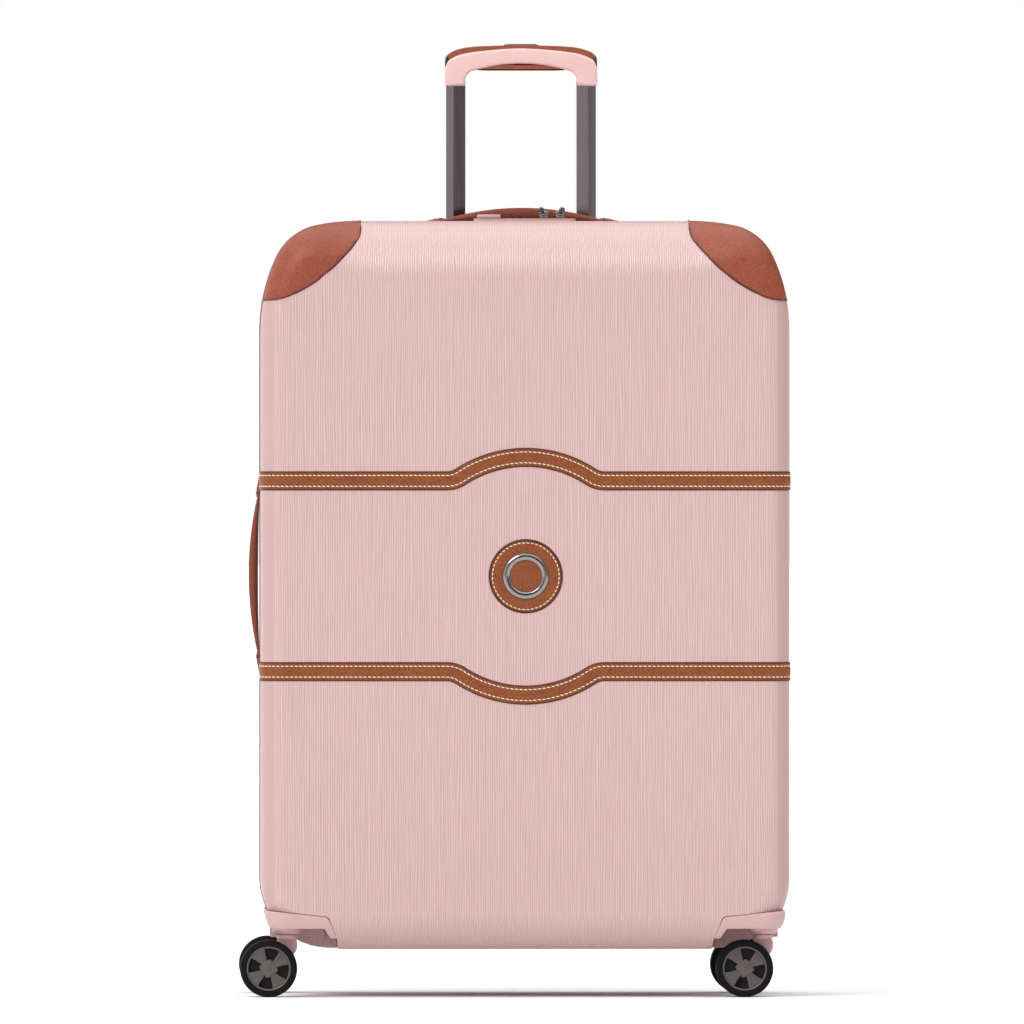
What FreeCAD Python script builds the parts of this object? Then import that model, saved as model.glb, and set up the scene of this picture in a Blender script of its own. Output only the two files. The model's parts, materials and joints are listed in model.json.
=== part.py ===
"""Hard shell suitcase on four twin-wheel casters, in millimetres.

X runs to the right, the front face looks along -Y and Z is up. The origin is on the floor,
under the middle of the case. The case is two moulded half shells that meet at a zip around
Y = 0. The rear half is the fixed one; it carries the telescopic trolley and both carry handles.
The front half hangs on a fabric hinge on the right and carries the lock, the leather bands and
the badge.
"""
import FreeCAD, Part
import math
import os

from FreeCAD import Placement, Rotation, Vector

# Case
HALF_WIDTH = 258.5
CASE_TOP = 760.0
CASE_BOTTOM = 47.0
HALF_DEPTH = 150.0
RIM_Y = 8.0                 # each rim stands this far from the plane where the halves meet
WALL = 2.6
TOP_CORNER = ((175.0, 0.0, 24.9), (53.8, 24.9, 78.4), (220.0, 78.4, 90.0))  # radius, angles
BOTTOM_CORNER_R = 68.0
FACE_SIDE_R = 22.0          # rounding between the large face and the side walls
FRONT_TOP_R = 62.0          # the front face leans back in a soft crown at the top
REAR_TOP_R = 22.0
FACE_BOTTOM_R = 38.0
HINGE_SPAN = (132.0, 648.0)

# Leather trim on the front
BAND_WIDTH = 18.2
BAND_OFFSET = 93.2          # straight part of a band, from the badge's centre
BAND_ARC_R = 116.2          # arched part of a band, round the badge's centre
BAND_BLEND_R = 24.0
BADGE_Z = 412.0
BADGE_R = 36.1
RING_R = 22.6
RING_HOLE_R = 15.7
GROOVE = 1.05               # depth of the seats moulded into the shell
PROUD = 1.2                 # how far a band stands out of the shell
GUARD_PROUD = 0.35          # and a corner guard
TRIM_END_Y = 12.0           # trim stops this far from the plane where the halves meet

# Casters
SWIVEL_X = 233.0
SWIVEL_Y = 107.0
TRAIL = 18.0
WHEEL_R = 28.0
WHEEL_WIDTH = 12.5
HUB_R = 21.6
HUB_TURN = 10.0             # degrees from upright to the first window
YOKE_THICK = 8.6
FORK_GAP = 0.5
AXLE_R = 2.0
SWIVEL_PIN_R = 4.0
YOKE_TOP = 61.2
HOUSING_FLOOR = 67.4
HOUSING_CORNER_R = 40.0
NOTCH_END_Y = 56.0

# Trolley
TROLLEY_Y = 112.0
TUBE_X = 64.5
TUBE = (19.2, 13.0)
TUBE_WALL = 1.2
OUTER_TUBE = (25.0, 19.0)
TUBE_TOP = 908.0
TUBE_FOOT = 262.0
GRIP_FOOT = 896.0
GRIP_HALF = 75.2
GRIP_DEPTH = 24.0
TRAY_FLOOR = 728.0
TRAY = (158.0, 30.0)
FOOT_TOP = 70.0
FOOT_BASE = 56.0
ROD_R = 1.5

# Carry handles
HANDLE_Y = 50.0
HANDLE_WIDTH = 24.0
HANDLE_HALF = 77.0
HANDLE_HOLLOW = 1.4         # the underside rises this far in the middle
HANDLE_CLEARANCE = 0.5      # under the ends of a handle's arch
HANDLE_FOOT = 0.24          # height at the ends, as a share of the height in the middle
HANDLE_END = 98.0
TOP_HANDLE_RISE = 14.8
SIDE_HANDLE_RISE = 11.2
SIDE_HANDLE_Z = 413.0

# Lock and zip
LOCK_Y = -29.0
LOCK_TOP = 763.0
LOCK_SPAN = (-49.0, 51.0)
DIAL_XS = (-14.0, -7.0, 0.0)
DIAL_R = 9.0
DIAL_Z = 755.0
SLIDER_XS = (20.1, 36.1)
PULLER_PIVOT = (-1.5, 770.0)

doc = FreeCAD.newDocument("case")


def save(name, *solids):
    shape = solids[0] if len(solids) == 1 else Part.makeCompound(list(solids))
    shape.exportStep(f"parts/{name}.step")
    volume = sum(solid.Volume for solid in shape.Solids) / 1000
    print(f"{name}: {len(shape.Solids)} solid, {volume:.1f} cm3, valid {shape.isValid()}")


def box(x0, x1, y0, y1, z0, z1):
    return Part.makeBox(x1 - x0, y1 - y0, z1 - z0, Vector(x0, y0, z0))


def cylinder(radius, start, end):
    axis = Vector(*end) - Vector(*start)
    return Part.makeCylinder(radius, axis.Length, Vector(*start), axis)


def rounded_bar(size, corner, x, y, z0, z1):
    """An upright bar with a rounded rectangular section."""
    bar = box(x - size[0] / 2, x + size[0] / 2, y - size[1] / 2, y + size[1] / 2, z0, z1)
    return bar.makeFillet(corner, upright_edges(bar))


def upright_edges(solid):
    return [edge for edge in solid.Edges if abs(edge.tangentAt(edge.FirstParameter).z) > 0.999]


def flip_y(shape):
    return shape.mirror(Vector(0, 0, 0), Vector(0, 1, 0))


def flip_x(shape):
    return shape.mirror(Vector(0, 0, 0), Vector(1, 0, 0))


def outline(segments, y=0.0):
    """A closed face in the XZ plane. A segment is two points, or three for an arc."""
    edges = []
    for segment in segments:
        points = [Vector(x, y, z) for x, z in segment]
        if len(points) == 2:
            edges.append(Part.makeLine(*points))
        else:
            edges.append(Part.Arc(*points).toShape())
    return Part.Face(Part.Wire(Part.__sortEdges__(edges)))


def arc_points(cx, cz, radius, start, end):
    """Start, middle and end of an arc given by its centre and angles in degrees."""
    return [(cx + radius * math.cos(math.radians(a)), cz + radius * math.sin(math.radians(a)))
            for a in (start, (start + end) / 2, end)]


# ---------------------------------------------------------------- case halves

def corner_size():
    """How far a top corner reaches in from the side and down from the top."""
    across = down = 0.0
    for radius, start, end in TOP_CORNER:
        a, b = math.radians(start), math.radians(end)
        across += radius * (math.cos(a) - math.cos(b))
        down += radius * (math.sin(b) - math.sin(a))
    return across, down


CORNER_ACROSS, CORNER_DOWN = corner_size()


def top_corner(inset):
    """The right top corner as tangent arcs, from the side up to the top."""
    first = TOP_CORNER[0][0]
    cx, cz = HALF_WIDTH - first, CASE_TOP - CORNER_DOWN
    arcs = []
    for number, (radius, start, end) in enumerate(TOP_CORNER):
        if number:
            step = TOP_CORNER[number - 1][0] - radius
            cx += step * math.cos(math.radians(start))
            cz += step * math.sin(math.radians(start))
        arcs.append(arc_points(cx, cz, radius - inset, start, end))
    return arcs


def case_section(inset, y, base_corner_r=BOTTOM_CORNER_R):
    half, base, rb = HALF_WIDTH - inset, CASE_BOTTOM + inset, base_corner_r - inset
    right = top_corner(inset)
    left = [[(-x, z) for x, z in arc] for arc in right]
    shoulder, crown = right[0][0], right[-1][-1]
    return outline([
        ((-half + rb, base), (half - rb, base)),
        arc_points(half - rb, base + rb, rb, -90, 0),
        ((half, base + rb), shoulder),
        *right,
        (crown, left[-1][-1]),
        *left,
        (left[0][0], (-half, base + rb)),
        arc_points(-half + rb, base + rb, rb, 180, 270)], y)


def half_block(inset, top_r, base_corner_r=BOTTOM_CORNER_R):
    """One half of the case as a solid block on the -Y side, shrunk all round by inset."""
    face_y = -HALF_DEPTH + inset
    block = doc.addObject("Part::Feature", "block")
    section = case_section(inset, face_y, base_corner_r)
    block.Shape = section.extrude(Vector(0, -RIM_Y - face_y, 0))

    def radius_at(point):
        """Rounding of the face, which grows evenly round the corner from the side to the top."""
        if abs(point.z - CASE_BOTTOM - inset) < 0.001:
            return FACE_BOTTOM_R - inset
        share = min(1.0, (HALF_WIDTH - inset - abs(point.x)) / (CORNER_ACROSS - inset))
        return FACE_SIDE_R + (top_r - FACE_SIDE_R) * (share if point.z > SIDE_HANDLE_Z else 0) - inset

    rounded = doc.addObject("Part::Fillet", "rounded")
    rounded.Base = block
    rounded.Edges = [(number, radius_at(edge.valueAt(edge.FirstParameter)),
                      radius_at(edge.valueAt(edge.LastParameter)))
                     for number, edge in enumerate(block.Shape.Edges, 1)
                     if all(abs(vertex.Y - face_y) < 0.001 for vertex in edge.Vertexes)]
    doc.recompute()
    return rounded.Shape


def wheel_notch(margin):
    """The space for the left wheel housing, as an outline seen from the front."""
    top_left, top_right = (-300.0, 90.9 + margin), (-198.0 + margin, 79.7 + margin)
    inner_top, inner_foot = (-191.0 + margin, 74.5), (-183.5 + margin, 55.0)
    return outline([
        (top_left, top_right),
        (top_right, (-193.0 + margin, 78.2 + margin * 0.7), inner_top),
        (inner_top, inner_foot),
        (inner_foot, (-180.5 + margin, 30.0)),
        ((-180.5 + margin, 30.0), (-300.0, 30.0)),
        ((-300.0, 30.0), top_left)])


def notch_block(margin):
    """Both wheel notches of one half, on the -Y side."""
    face = wheel_notch(margin)
    face.translate(Vector(0, -HALF_DEPTH - 10, 0))
    left = face.extrude(Vector(0, HALF_DEPTH + 10 - NOTCH_END_Y + margin, 0))
    return left.fuse(flip_x(left))


def band_outline(half_width, sign):
    """A band across the case that arches round the badge, as an outline seen from the front."""
    blend_x = math.sqrt((BAND_ARC_R + BAND_BLEND_R) ** 2 - (BAND_OFFSET + BAND_BLEND_R) ** 2)
    blend_z = BAND_OFFSET + BAND_BLEND_R
    tangent = math.degrees(math.atan2(blend_z, blend_x))
    reach = HALF_WIDTH + 20

    def place(points):
        return [(x, BADGE_Z + sign * z) for x, z in points]

    def edge(offset):
        small = BAND_BLEND_R - offset
        return [
            place([(-reach, BAND_OFFSET + offset), (-blend_x, BAND_OFFSET + offset)]),
            place(arc_points(-blend_x, blend_z, small, -90, -tangent)),
            place(arc_points(0, 0, BAND_ARC_R + offset, 180 - tangent, tangent)),
            place(arc_points(blend_x, blend_z, small, tangent - 180, -90)),
            place([(blend_x, BAND_OFFSET + offset), (reach, BAND_OFFSET + offset)])]

    upper, lower = edge(half_width), edge(-half_width)
    ends = [(upper[0][0], lower[0][0]), (upper[-1][-1], lower[-1][-1])]
    return upper + lower + ends


def forward_prism(face):
    """Stretch a face in the XZ plane through the whole front half, up to the trim's end."""
    moved = face.copy()
    moved.translate(Vector(0, -TRIM_END_Y, 0))
    return moved.extrude(Vector(0, -HALF_DEPTH, 0))


def guard_face():
    """The left leather corner, as an outline seen from the front."""
    x0, z0 = -HALF_WIDTH, CASE_TOP
    inner = [(x0 + 97.7, z0 - 8.0), (x0 + 93.3, z0 - 20.3), (x0 + 30.6, z0 - 72.4),
             (x0 + 8.0, z0 - 78.2)]
    return outline([
        ((x0 + 97.7, z0 + 20), inner[0]),
        (inner[0], (x0 + 96.6, z0 - 14.5), inner[1]),
        (inner[1], (x0 + 65.5, z0 - 50.0), inner[2]),
        (inner[2], (x0 + 20.0, z0 - 76.4), inner[3]),
        (inner[3], (x0 - 20, z0 - 78.6)),
        ((x0 - 20, z0 - 78.6), (x0 - 20, z0 + 20)),
        ((x0 - 20, z0 + 20), (x0 + 97.7, z0 + 20))])


def channel_blocks(margin):
    """The space that the lining of the rear half leaves for the trolley and its tray."""
    blocks = [box(-TRAY[0] / 2 - 2 - margin, TRAY[0] / 2 + 2 + margin,
                  TROLLEY_Y - TRAY[1] / 2 - 1.5 - margin, HALF_DEPTH,
                  TRAY_FLOOR - 5 - margin, CASE_TOP),
              box(-82 - margin, 82 + margin, TROLLEY_Y - 14.5 - margin, HALF_DEPTH,
                  CASE_BOTTOM, FOOT_TOP + 2 + margin)]
    for x in (-TUBE_X, TUBE_X):
        blocks.append(box(x - 13.5 - margin, x + 13.5 + margin,
                          TROLLEY_Y - 10.5 - margin, HALF_DEPTH, CASE_BOTTOM, CASE_TOP))
    return blocks[0].multiFuse(blocks[1:])


def lock_block(margin):
    """The space that the lining of the front half leaves for the lock."""
    return box(LOCK_SPAN[0] - margin, LOCK_SPAN[1] + margin, -46 - margin, -RIM_Y,
               738 - margin, CASE_TOP)


def lining(top_r, obstacle, turn):
    outer = turn(half_block(WALL + 0.3, top_r).cut(notch_block(WALL + 0.3))).cut(obstacle(0))
    inner = turn(half_block(WALL + 1.3, top_r).cut(notch_block(WALL + 1.3))).cut(obstacle(1.0))
    return outer.cut(inner)


def same(shape):
    return shape


def zipper_tape():
    """The front half of the zip's tape, flush with the rim on every side but the hinge's."""
    ring = case_section(0.4, -RIM_Y + 0.1).extrude(Vector(0, RIM_Y - 0.9, 0))
    ring = ring.cut(case_section(2.3, -RIM_Y).extrude(Vector(0, RIM_Y, 0)))
    return ring.cut(box(200, 300, -RIM_Y, 0, HINGE_SPAN[0] - 2, HINGE_SPAN[1] + 2))


def build_case():
    front = half_block(0, FRONT_TOP_R)
    rear = flip_y(half_block(0, REAR_TOP_R))
    cavity = half_block(WALL, FRONT_TOP_R).cut(notch_block(WALL))
    rear_cavity = flip_y(half_block(WALL, REAR_TOP_R).cut(notch_block(WALL)))
    seat_floor = half_block(GROOVE, FRONT_TOP_R)
    trim_skin = half_block(-PROUD, FRONT_TOP_R)

    front_shell = front.cut(cavity).cut(notch_block(0))
    bands = {}
    for name, sign in (("upper_band", 1), ("lower_band", -1)):
        seat = forward_prism(outline(band_outline(BAND_WIDTH / 2 + 0.3, sign)))
        front_shell = front_shell.cut(seat.cut(seat_floor))
        leather = forward_prism(outline(band_outline(BAND_WIDTH / 2, sign)))
        bands[name] = leather.common(trim_skin).cut(half_block(GROOVE - 0.01, FRONT_TOP_R))
    badge_seat = cylinder(BADGE_R + 0.3, (0, -HALF_DEPTH + GROOVE, BADGE_Z),
                          (0, -HALF_DEPTH - 5, BADGE_Z))
    lock_hole = box(LOCK_SPAN[0] + 2.7, LOCK_SPAN[1] - 2.7, LOCK_Y - 12.3, LOCK_Y + 12.3,
                    CASE_TOP - 10, CASE_TOP + 10)
    corners = forward_prism(guard_face())
    corners = corners.fuse(flip_x(corners))
    guard_seats = corners.cut(seat_floor)
    save("front_shell", front_shell.cut(badge_seat).cut(lock_hole).cut(guard_seats))
    for name, band in bands.items():
        save(name, band)

    tray_hole = rounded_bar((TRAY[0] + 0.4, TRAY[1] + 0.4), 8, 0, TROLLEY_Y,
                            CASE_TOP - 20, CASE_TOP + 10)
    rear_floor = half_block(GROOVE, REAR_TOP_R)
    rear_shell = rear.cut(rear_cavity).cut(flip_y(notch_block(0))).cut(tray_hole)
    save("rear_shell", rear_shell.cut(flip_y(corners.cut(rear_floor))))

    save("front_lining", lining(FRONT_TOP_R, lock_block, same))
    save("rear_lining", lining(REAR_TOP_R, channel_blocks, flip_y))
    save("front_zipper_tape", zipper_tape())
    save("rear_zipper_tape", flip_y(zipper_tape()))
    save("hinge_gusset", box(HALF_WIDTH - 2.2, HALF_WIDTH - 0.4, -RIM_Y + 0.3, RIM_Y - 0.3,
                             *HINGE_SPAN))

    for name, top_r, turn in (("front_corner_guards", FRONT_TOP_R, same),
                              ("rear_corner_guards", REAR_TOP_R, flip_y)):
        leather = corners.common(half_block(-GUARD_PROUD, top_r)).cut(half_block(GROOVE - 0.01, top_r))
        save(name, *turn(leather).Solids)


def build_badge():
    disc = cylinder(BADGE_R, (0, -HALF_DEPTH + GROOVE, BADGE_Z), (0, -HALF_DEPTH - 0.9, BADGE_Z))
    save("badge_disc", disc.makeFillet(0.6, [disc.Edges[i] for i in rim_edges(disc)]))
    face_y = -HALF_DEPTH - 0.9
    ring = cylinder(RING_R, (0, face_y, BADGE_Z), (0, face_y - 1.8, BADGE_Z))
    ring = ring.cut(cylinder(RING_HOLE_R, (0, face_y + 1, BADGE_Z), (0, face_y - 5, BADGE_Z)))
    front_edges = [edge for edge in ring.Edges
                   if edge.BoundBox.YLength < 0.001 and edge.BoundBox.YMin < face_y - 1]
    save("badge_ring", ring.makeChamfer(0.9, front_edges))


def rim_edges(disc):
    """Numbers of the circular edges at the end of a disc that looks forward."""
    return [i for i, edge in enumerate(disc.Edges)
            if edge.BoundBox.YLength < 0.001 and edge.BoundBox.YMin < -HALF_DEPTH]


# ---------------------------------------------------------------- casters

def housing_left():
    """Moulded foot that fills the left wheel notch of the front half."""
    face = outline([
        ((-253.6, 85.2), (-198.5, 79.2)),
        ((-198.5, 79.2), (-193.4, 77.4), (-191.4, 74.0)),
        ((-191.4, 74.0), (-184.6, 57.8)),
        ((-184.6, 57.8), (-190.6, 57.8)),
        ((-190.6, 57.8), (-196.8, HOUSING_FLOOR)),
        ((-196.8, HOUSING_FLOOR), (-249.2, HOUSING_FLOOR)),
        ((-249.2, HOUSING_FLOOR), (-253.2, 75.0), (-253.6, 85.2))])
    face.translate(Vector(0, -HALF_DEPTH, 0))
    block = face.extrude(Vector(0, HALF_DEPTH - NOTCH_END_Y - 0.4, 0))
    block = block.common(half_block(0, FRONT_TOP_R, HOUSING_CORNER_R))
    back_lip = box(-249.0, -196.0, -NOTCH_END_Y - 5, -NOTCH_END_Y - 0.6, 57.8, HOUSING_FLOOR + 1)
    flange = cylinder(14.5, (-SWIVEL_X, -SWIVEL_Y, YOKE_TOP + 0.5),
                      (-SWIVEL_X, -SWIVEL_Y, HOUSING_FLOOR + 1))
    flange = flange.makeChamfer(3, [edge for edge in flange.Edges
                                    if edge.BoundBox.ZMax < YOKE_TOP + 1])
    pin_hole = cylinder(SWIVEL_PIN_R + 0.02, (-SWIVEL_X, -SWIVEL_Y, 50),
                        (-SWIVEL_X, -SWIVEL_Y, 76))
    return block.fuse([back_lip, flange]).removeSplitter().cut(pin_hole)


def swivel_pin(x, y):
    return cylinder(SWIVEL_PIN_R, (x, y, 47.5), (x, y, 76))


def caster_yoke():
    """Stem and fork blade of a caster whose swivel axis is the Z axis. Its wheel trails to -X."""
    stem = cylinder(10, (0, 0, 57.6), (0, 0, YOKE_TOP))
    half = YOKE_THICK / 2
    blade = outline([
        ((-10.0, 58.0), (10.0, 58.0)),
        ((10.0, 58.0), (10.0, 46.0)),
        ((10.0, 46.0), (-10.6, 21.4)),
        ((-10.6, 21.4), (-18.0, 17.5), (-26.6, 22.0)),
        ((-26.6, 22.0), (-10.0, 46.0)),
        ((-10.0, 46.0), (-10.0, 58.0))], -half)
    blade = blade.extrude(Vector(0, YOKE_THICK, 0))
    barrel = cylinder(7.0, (-TRAIL, -half - 0.2, WHEEL_R), (-TRAIL, half + 0.2, WHEEL_R))
    yoke = stem.fuse([blade, barrel]).removeSplitter()
    yoke = yoke.cut(cylinder(AXLE_R + 0.05, (-TRAIL, -20, WHEEL_R), (-TRAIL, 20, WHEEL_R)))
    return yoke.cut(cylinder(SWIVEL_PIN_R + 0.05, (0, 0, 47.0), (0, 0, 70)))


def caster_wheels():
    """Axle, the pair of hubs and the pair of tyres of the same caster."""
    inner_y = YOKE_THICK / 2 + FORK_GAP
    outer_y = inner_y + WHEEL_WIDTH
    axle = cylinder(AXLE_R, (-TRAIL, -outer_y + 1.5, WHEEL_R), (-TRAIL, outer_y - 1.5, WHEEL_R))
    hub = cylinder(HUB_R, (-TRAIL, -outer_y + 0.8, WHEEL_R), (-TRAIL, -inner_y, WHEEL_R))
    for quarter in range(4):
        hub = hub.cut(hub_window(-outer_y).copy().rotate(
            Vector(-TRAIL, 0, WHEEL_R), Vector(0, 1, 0), 90 * quarter + HUB_TURN))
    hub = hub.cut(cylinder(AXLE_R, (-TRAIL, -outer_y + 1.5, WHEEL_R), (-TRAIL, 0, WHEEL_R)))
    tyre = cylinder(WHEEL_R, (-TRAIL, -outer_y, WHEEL_R), (-TRAIL, -inner_y, WHEEL_R))
    tyre = tyre.makeFillet(2.4, [edge for edge in tyre.Edges if edge.BoundBox.YLength < 0.001])
    tyre = tyre.cut(cylinder(HUB_R, (-TRAIL, -outer_y - 1, WHEEL_R), (-TRAIL, 0, WHEEL_R)))
    return [axle], [hub, flip_y(hub)], [tyre, flip_y(tyre)]


def hub_window(face_y):
    """One of the four blind windows between a hub's spokes, straight above the axle."""
    face = outline([
        ((-TRAIL - 2.6, WHEEL_R + 7.4), (-TRAIL + 2.6, WHEEL_R + 7.4)),
        ((-TRAIL + 2.6, WHEEL_R + 7.4), (-TRAIL + 6.4, WHEEL_R + 18.2)),
        ((-TRAIL + 6.4, WHEEL_R + 18.2), (-TRAIL, WHEEL_R + 19.3), (-TRAIL - 6.4, WHEEL_R + 18.2)),
        ((-TRAIL - 6.4, WHEEL_R + 18.2), (-TRAIL - 2.6, WHEEL_R + 7.4))], face_y - 1)
    return face.extrude(Vector(0, 9, 0))


def build_casters():
    housing = housing_left()
    save("front_wheel_housings", housing, flip_x(housing))
    save("rear_wheel_housings", flip_y(housing), flip_x(flip_y(housing)))
    save("front_swivel_pins", swivel_pin(-SWIVEL_X, -SWIVEL_Y), swivel_pin(SWIVEL_X, -SWIVEL_Y))
    save("rear_swivel_pins", swivel_pin(-SWIVEL_X, SWIVEL_Y), swivel_pin(SWIVEL_X, SWIVEL_Y))
    corners = {"front_left": (-1, -1), "front_right": (1, -1),
               "rear_left": (-1, 1), "rear_right": (1, 1)}
    for corner, (side, end) in corners.items():
        axle, hubs, tyres = caster_wheels()
        pieces = {"yoke": [caster_yoke()], "axle": axle, "hubs": hubs, "tyres": tyres}
        for piece, solids in pieces.items():
            for solid in solids:
                solid.translate(Vector(side * SWIVEL_X, end * SWIVEL_Y, 0))
            save(f"{corner}_caster_{piece}", *solids)


# ---------------------------------------------------------------- trolley

def spline_edge(points, y):
    curve = Part.BSplineCurve()
    curve.interpolate([Vector(x, y, z) for x, z in points])
    return curve.toShape()


def mirrored(points):
    """A left half of points, with its mirror image after it."""
    return points + [(-x, z) for x, z in reversed(points) if abs(x) > 0.001]


GRIP_CROWN = mirrored([(-GRIP_HALF, 917.0), (-70.5, 922.6), (-51.0, 929.2), (0.0, 933.4)])
PAD_CROWN = mirrored([(-GRIP_HALF, 919.5), (-73.6, 926.0), (-64.0, 931.6), (-45.0, 935.2),
                      (0.0, 936.3)])
GRIP_ARCH = mirrored([(-43.5, 911.8), (-22.0, 916.2), (0.0, 917.6)])


def grip_frame():
    """The moulded U of the grip: two legs under an arched bar."""
    y = TROLLEY_Y - GRIP_DEPTH / 2
    left, right = GRIP_ARCH[0], GRIP_ARCH[-1]
    edges = [spline_edge(GRIP_CROWN, y), spline_edge(GRIP_ARCH, y)]
    for side, corner in ((-1, left), (1, right)):
        inner = side * 55.4
        edges += [
            Part.makeLine(Vector(side * GRIP_HALF, y, 917.0),
                          Vector(side * GRIP_HALF, y, GRIP_FOOT)),
            Part.makeLine(Vector(side * GRIP_HALF, y, GRIP_FOOT), Vector(inner, y, GRIP_FOOT)),
            Part.makeLine(Vector(inner, y, GRIP_FOOT), Vector(inner, y, 899.0)),
            Part.Arc(Vector(inner, y, 899.0), Vector(side * 52.2, y, 908.2),
                     Vector(corner[0], y, corner[1])).toShape()]
    frame = Part.Face(Part.Wire(Part.__sortEdges__(edges))).extrude(Vector(0, GRIP_DEPTH, 0))
    return frame.common(grip_plan()).cut(grip_inside())


def grip_plan():
    """A block that rounds the grip's corners as seen from above."""
    return rounded_bar((2 * GRIP_HALF, GRIP_DEPTH), 6, 0, TROLLEY_Y, GRIP_FOOT - 5, 945)


def grip_inside():
    """Hollow of the grip: the button's well, the release bar's slot and the tube sockets."""
    y = TROLLEY_Y
    hollow = [box(-66.6, 66.6, y - 5, y + 5, 918.7, 923.7),
              box(-15.6, 15.6, y - 5.6, y + 5.6, 918.7, 945)]
    for x in (-TUBE_X, TUBE_X):
        hollow.append(cylinder(2.2, (x, y, TUBE_TOP - 1), (x, y, 919)))
        hollow.append(rounded_bar((TUBE[0] + 0.1, TUBE[1] + 0.1), 4, x, y, GRIP_FOOT - 5,
                                  TUBE_TOP))
    return hollow[0].multiFuse(hollow[1:])


def grip_pads():
    """Soft pads of the grip: a crescent on top of the frame and a lens under it."""
    y = TROLLEY_Y - GRIP_DEPTH / 2 + 0.8
    depth = Vector(0, GRIP_DEPTH - 1.6, 0)
    crown = [Part.makeLine(Vector(side * GRIP_HALF, y, 917.0),
                           Vector(side * GRIP_HALF, y, 919.5)) for side in (-1, 1)]
    crown += [spline_edge(GRIP_CROWN, y), spline_edge(PAD_CROWN, y)]
    top = Part.Face(Part.Wire(Part.__sortEdges__(crown))).extrude(depth)
    top = top.common(grip_plan()).cut(grip_inside())
    ends = [Vector(x, y, z) for x, z in (GRIP_ARCH[0], GRIP_ARCH[-1])]
    lens = [spline_edge(GRIP_ARCH, y), Part.makeLine(*ends)]
    under = Part.Face(Part.Wire(Part.__sortEdges__(lens))).extrude(depth)
    return top, under


def tube(size, x, z0, z1):
    inside = (size[0] - 2 * TUBE_WALL, size[1] - 2 * TUBE_WALL)
    outer = rounded_bar(size, 4, x, TROLLEY_Y, z0, z1)
    return outer.cut(rounded_bar(inside, 4 - TUBE_WALL, x, TROLLEY_Y, z0 - 1, z1 + 1))


def end_plug(x):
    """Plastic foot of a moving tube, which guides it in the fixed tube."""
    guide = rounded_bar((OUTER_TUBE[0] - 3.0, OUTER_TUBE[1] - 3.0), 3.5, x, TROLLEY_Y,
                        TUBE_FOOT - 14, TUBE_FOOT)
    neck = rounded_bar((TUBE[0] - 2 * TUBE_WALL, TUBE[1] - 2 * TUBE_WALL), 4 - TUBE_WALL,
                       x, TROLLEY_Y, TUBE_FOOT, TUBE_FOOT + 18)
    return guide.fuse(neck).cut(cylinder(ROD_R + 0.3, (x, TROLLEY_Y, TUBE_FOOT + 4),
                                         (x, TROLLEY_Y, TUBE_FOOT + 20)))


def bush(x):
    """Plastic collar in the mouth of a fixed tube."""
    collar = rounded_bar((22.5, 16.5), 3.5, x, TROLLEY_Y, TRAY_FLOOR - 14, TRAY_FLOOR + 1)
    flange = rounded_bar((24.6, 20.0), 4, x, TROLLEY_Y, TRAY_FLOOR, TRAY_FLOOR + 2)
    bore = rounded_bar((TUBE[0] + 0.6, TUBE[1] + 0.6), 4.3, x, TROLLEY_Y, 700, 740)
    return collar.fuse(flange).removeSplitter().cut(bore)


def build_trolley():
    cup = rounded_bar(TRAY, 8, 0, TROLLEY_Y, TRAY_FLOOR - 2, CASE_TOP + 1)
    rim = rounded_bar((TRAY[0] + 7, TRAY[1] + 3), 9, 0, TROLLEY_Y, CASE_TOP + 0.02, CASE_TOP + 1.4)
    tray = cup.fuse(rim).removeSplitter().cut(
        rounded_bar((TRAY[0] - 4, TRAY[1] - 4), 5, 0, TROLLEY_Y, TRAY_FLOOR, CASE_TOP + 5))
    bracket = box(-80, 80, TROLLEY_Y - 13, TROLLEY_Y + 13, FOOT_BASE, FOOT_TOP)
    bracket = bracket.cut(box(-48, 48, TROLLEY_Y - 14, TROLLEY_Y + 14, FOOT_BASE + 4, 90))
    for x in (-TUBE_X, TUBE_X):
        tray = tray.cut(rounded_bar((22.6, 16.6), 3.6, x, TROLLEY_Y, 700, 740))
        bracket = bracket.cut(rounded_bar(OUTER_TUBE, 4, x, TROLLEY_Y, FOOT_BASE + 5, 90))
    save("trolley_tray", tray)
    save("foot_bracket", bracket)
    save("tube_bushes", bush(-TUBE_X), bush(TUBE_X))
    save("outer_tubes", *[tube(OUTER_TUBE, x, FOOT_BASE + 5, TRAY_FLOOR - 2)
                          for x in (-TUBE_X, TUBE_X)])
    save("inner_tubes", *[tube(TUBE, x, TUBE_FOOT, TUBE_TOP) for x in (-TUBE_X, TUBE_X)])
    save("tube_end_plugs", end_plug(-TUBE_X), end_plug(TUBE_X))

    top, under = grip_pads()
    save("grip_frame", grip_frame())
    save("grip_top_pad", top)
    save("grip_under_pad", under)
    button = box(-15.2, 15.2, TROLLEY_Y - 5.2, TROLLEY_Y + 5.2, 923.4, 937.8)
    save("release_button", button.makeFillet(1.2, [edge for edge in button.Edges
                                                   if edge.BoundBox.ZMin > 937]))
    bar = box(-66, 66, TROLLEY_Y - 4, TROLLEY_Y + 4, 921.9, 923.4)
    rods = [cylinder(ROD_R, (x, TROLLEY_Y, TUBE_FOOT + 8.0), (x, TROLLEY_Y, 922.0))
            for x in (-TUBE_X, TUBE_X)]
    save("release_rods", bar.multiFuse(rods))


# ---------------------------------------------------------------- carry handles

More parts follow.
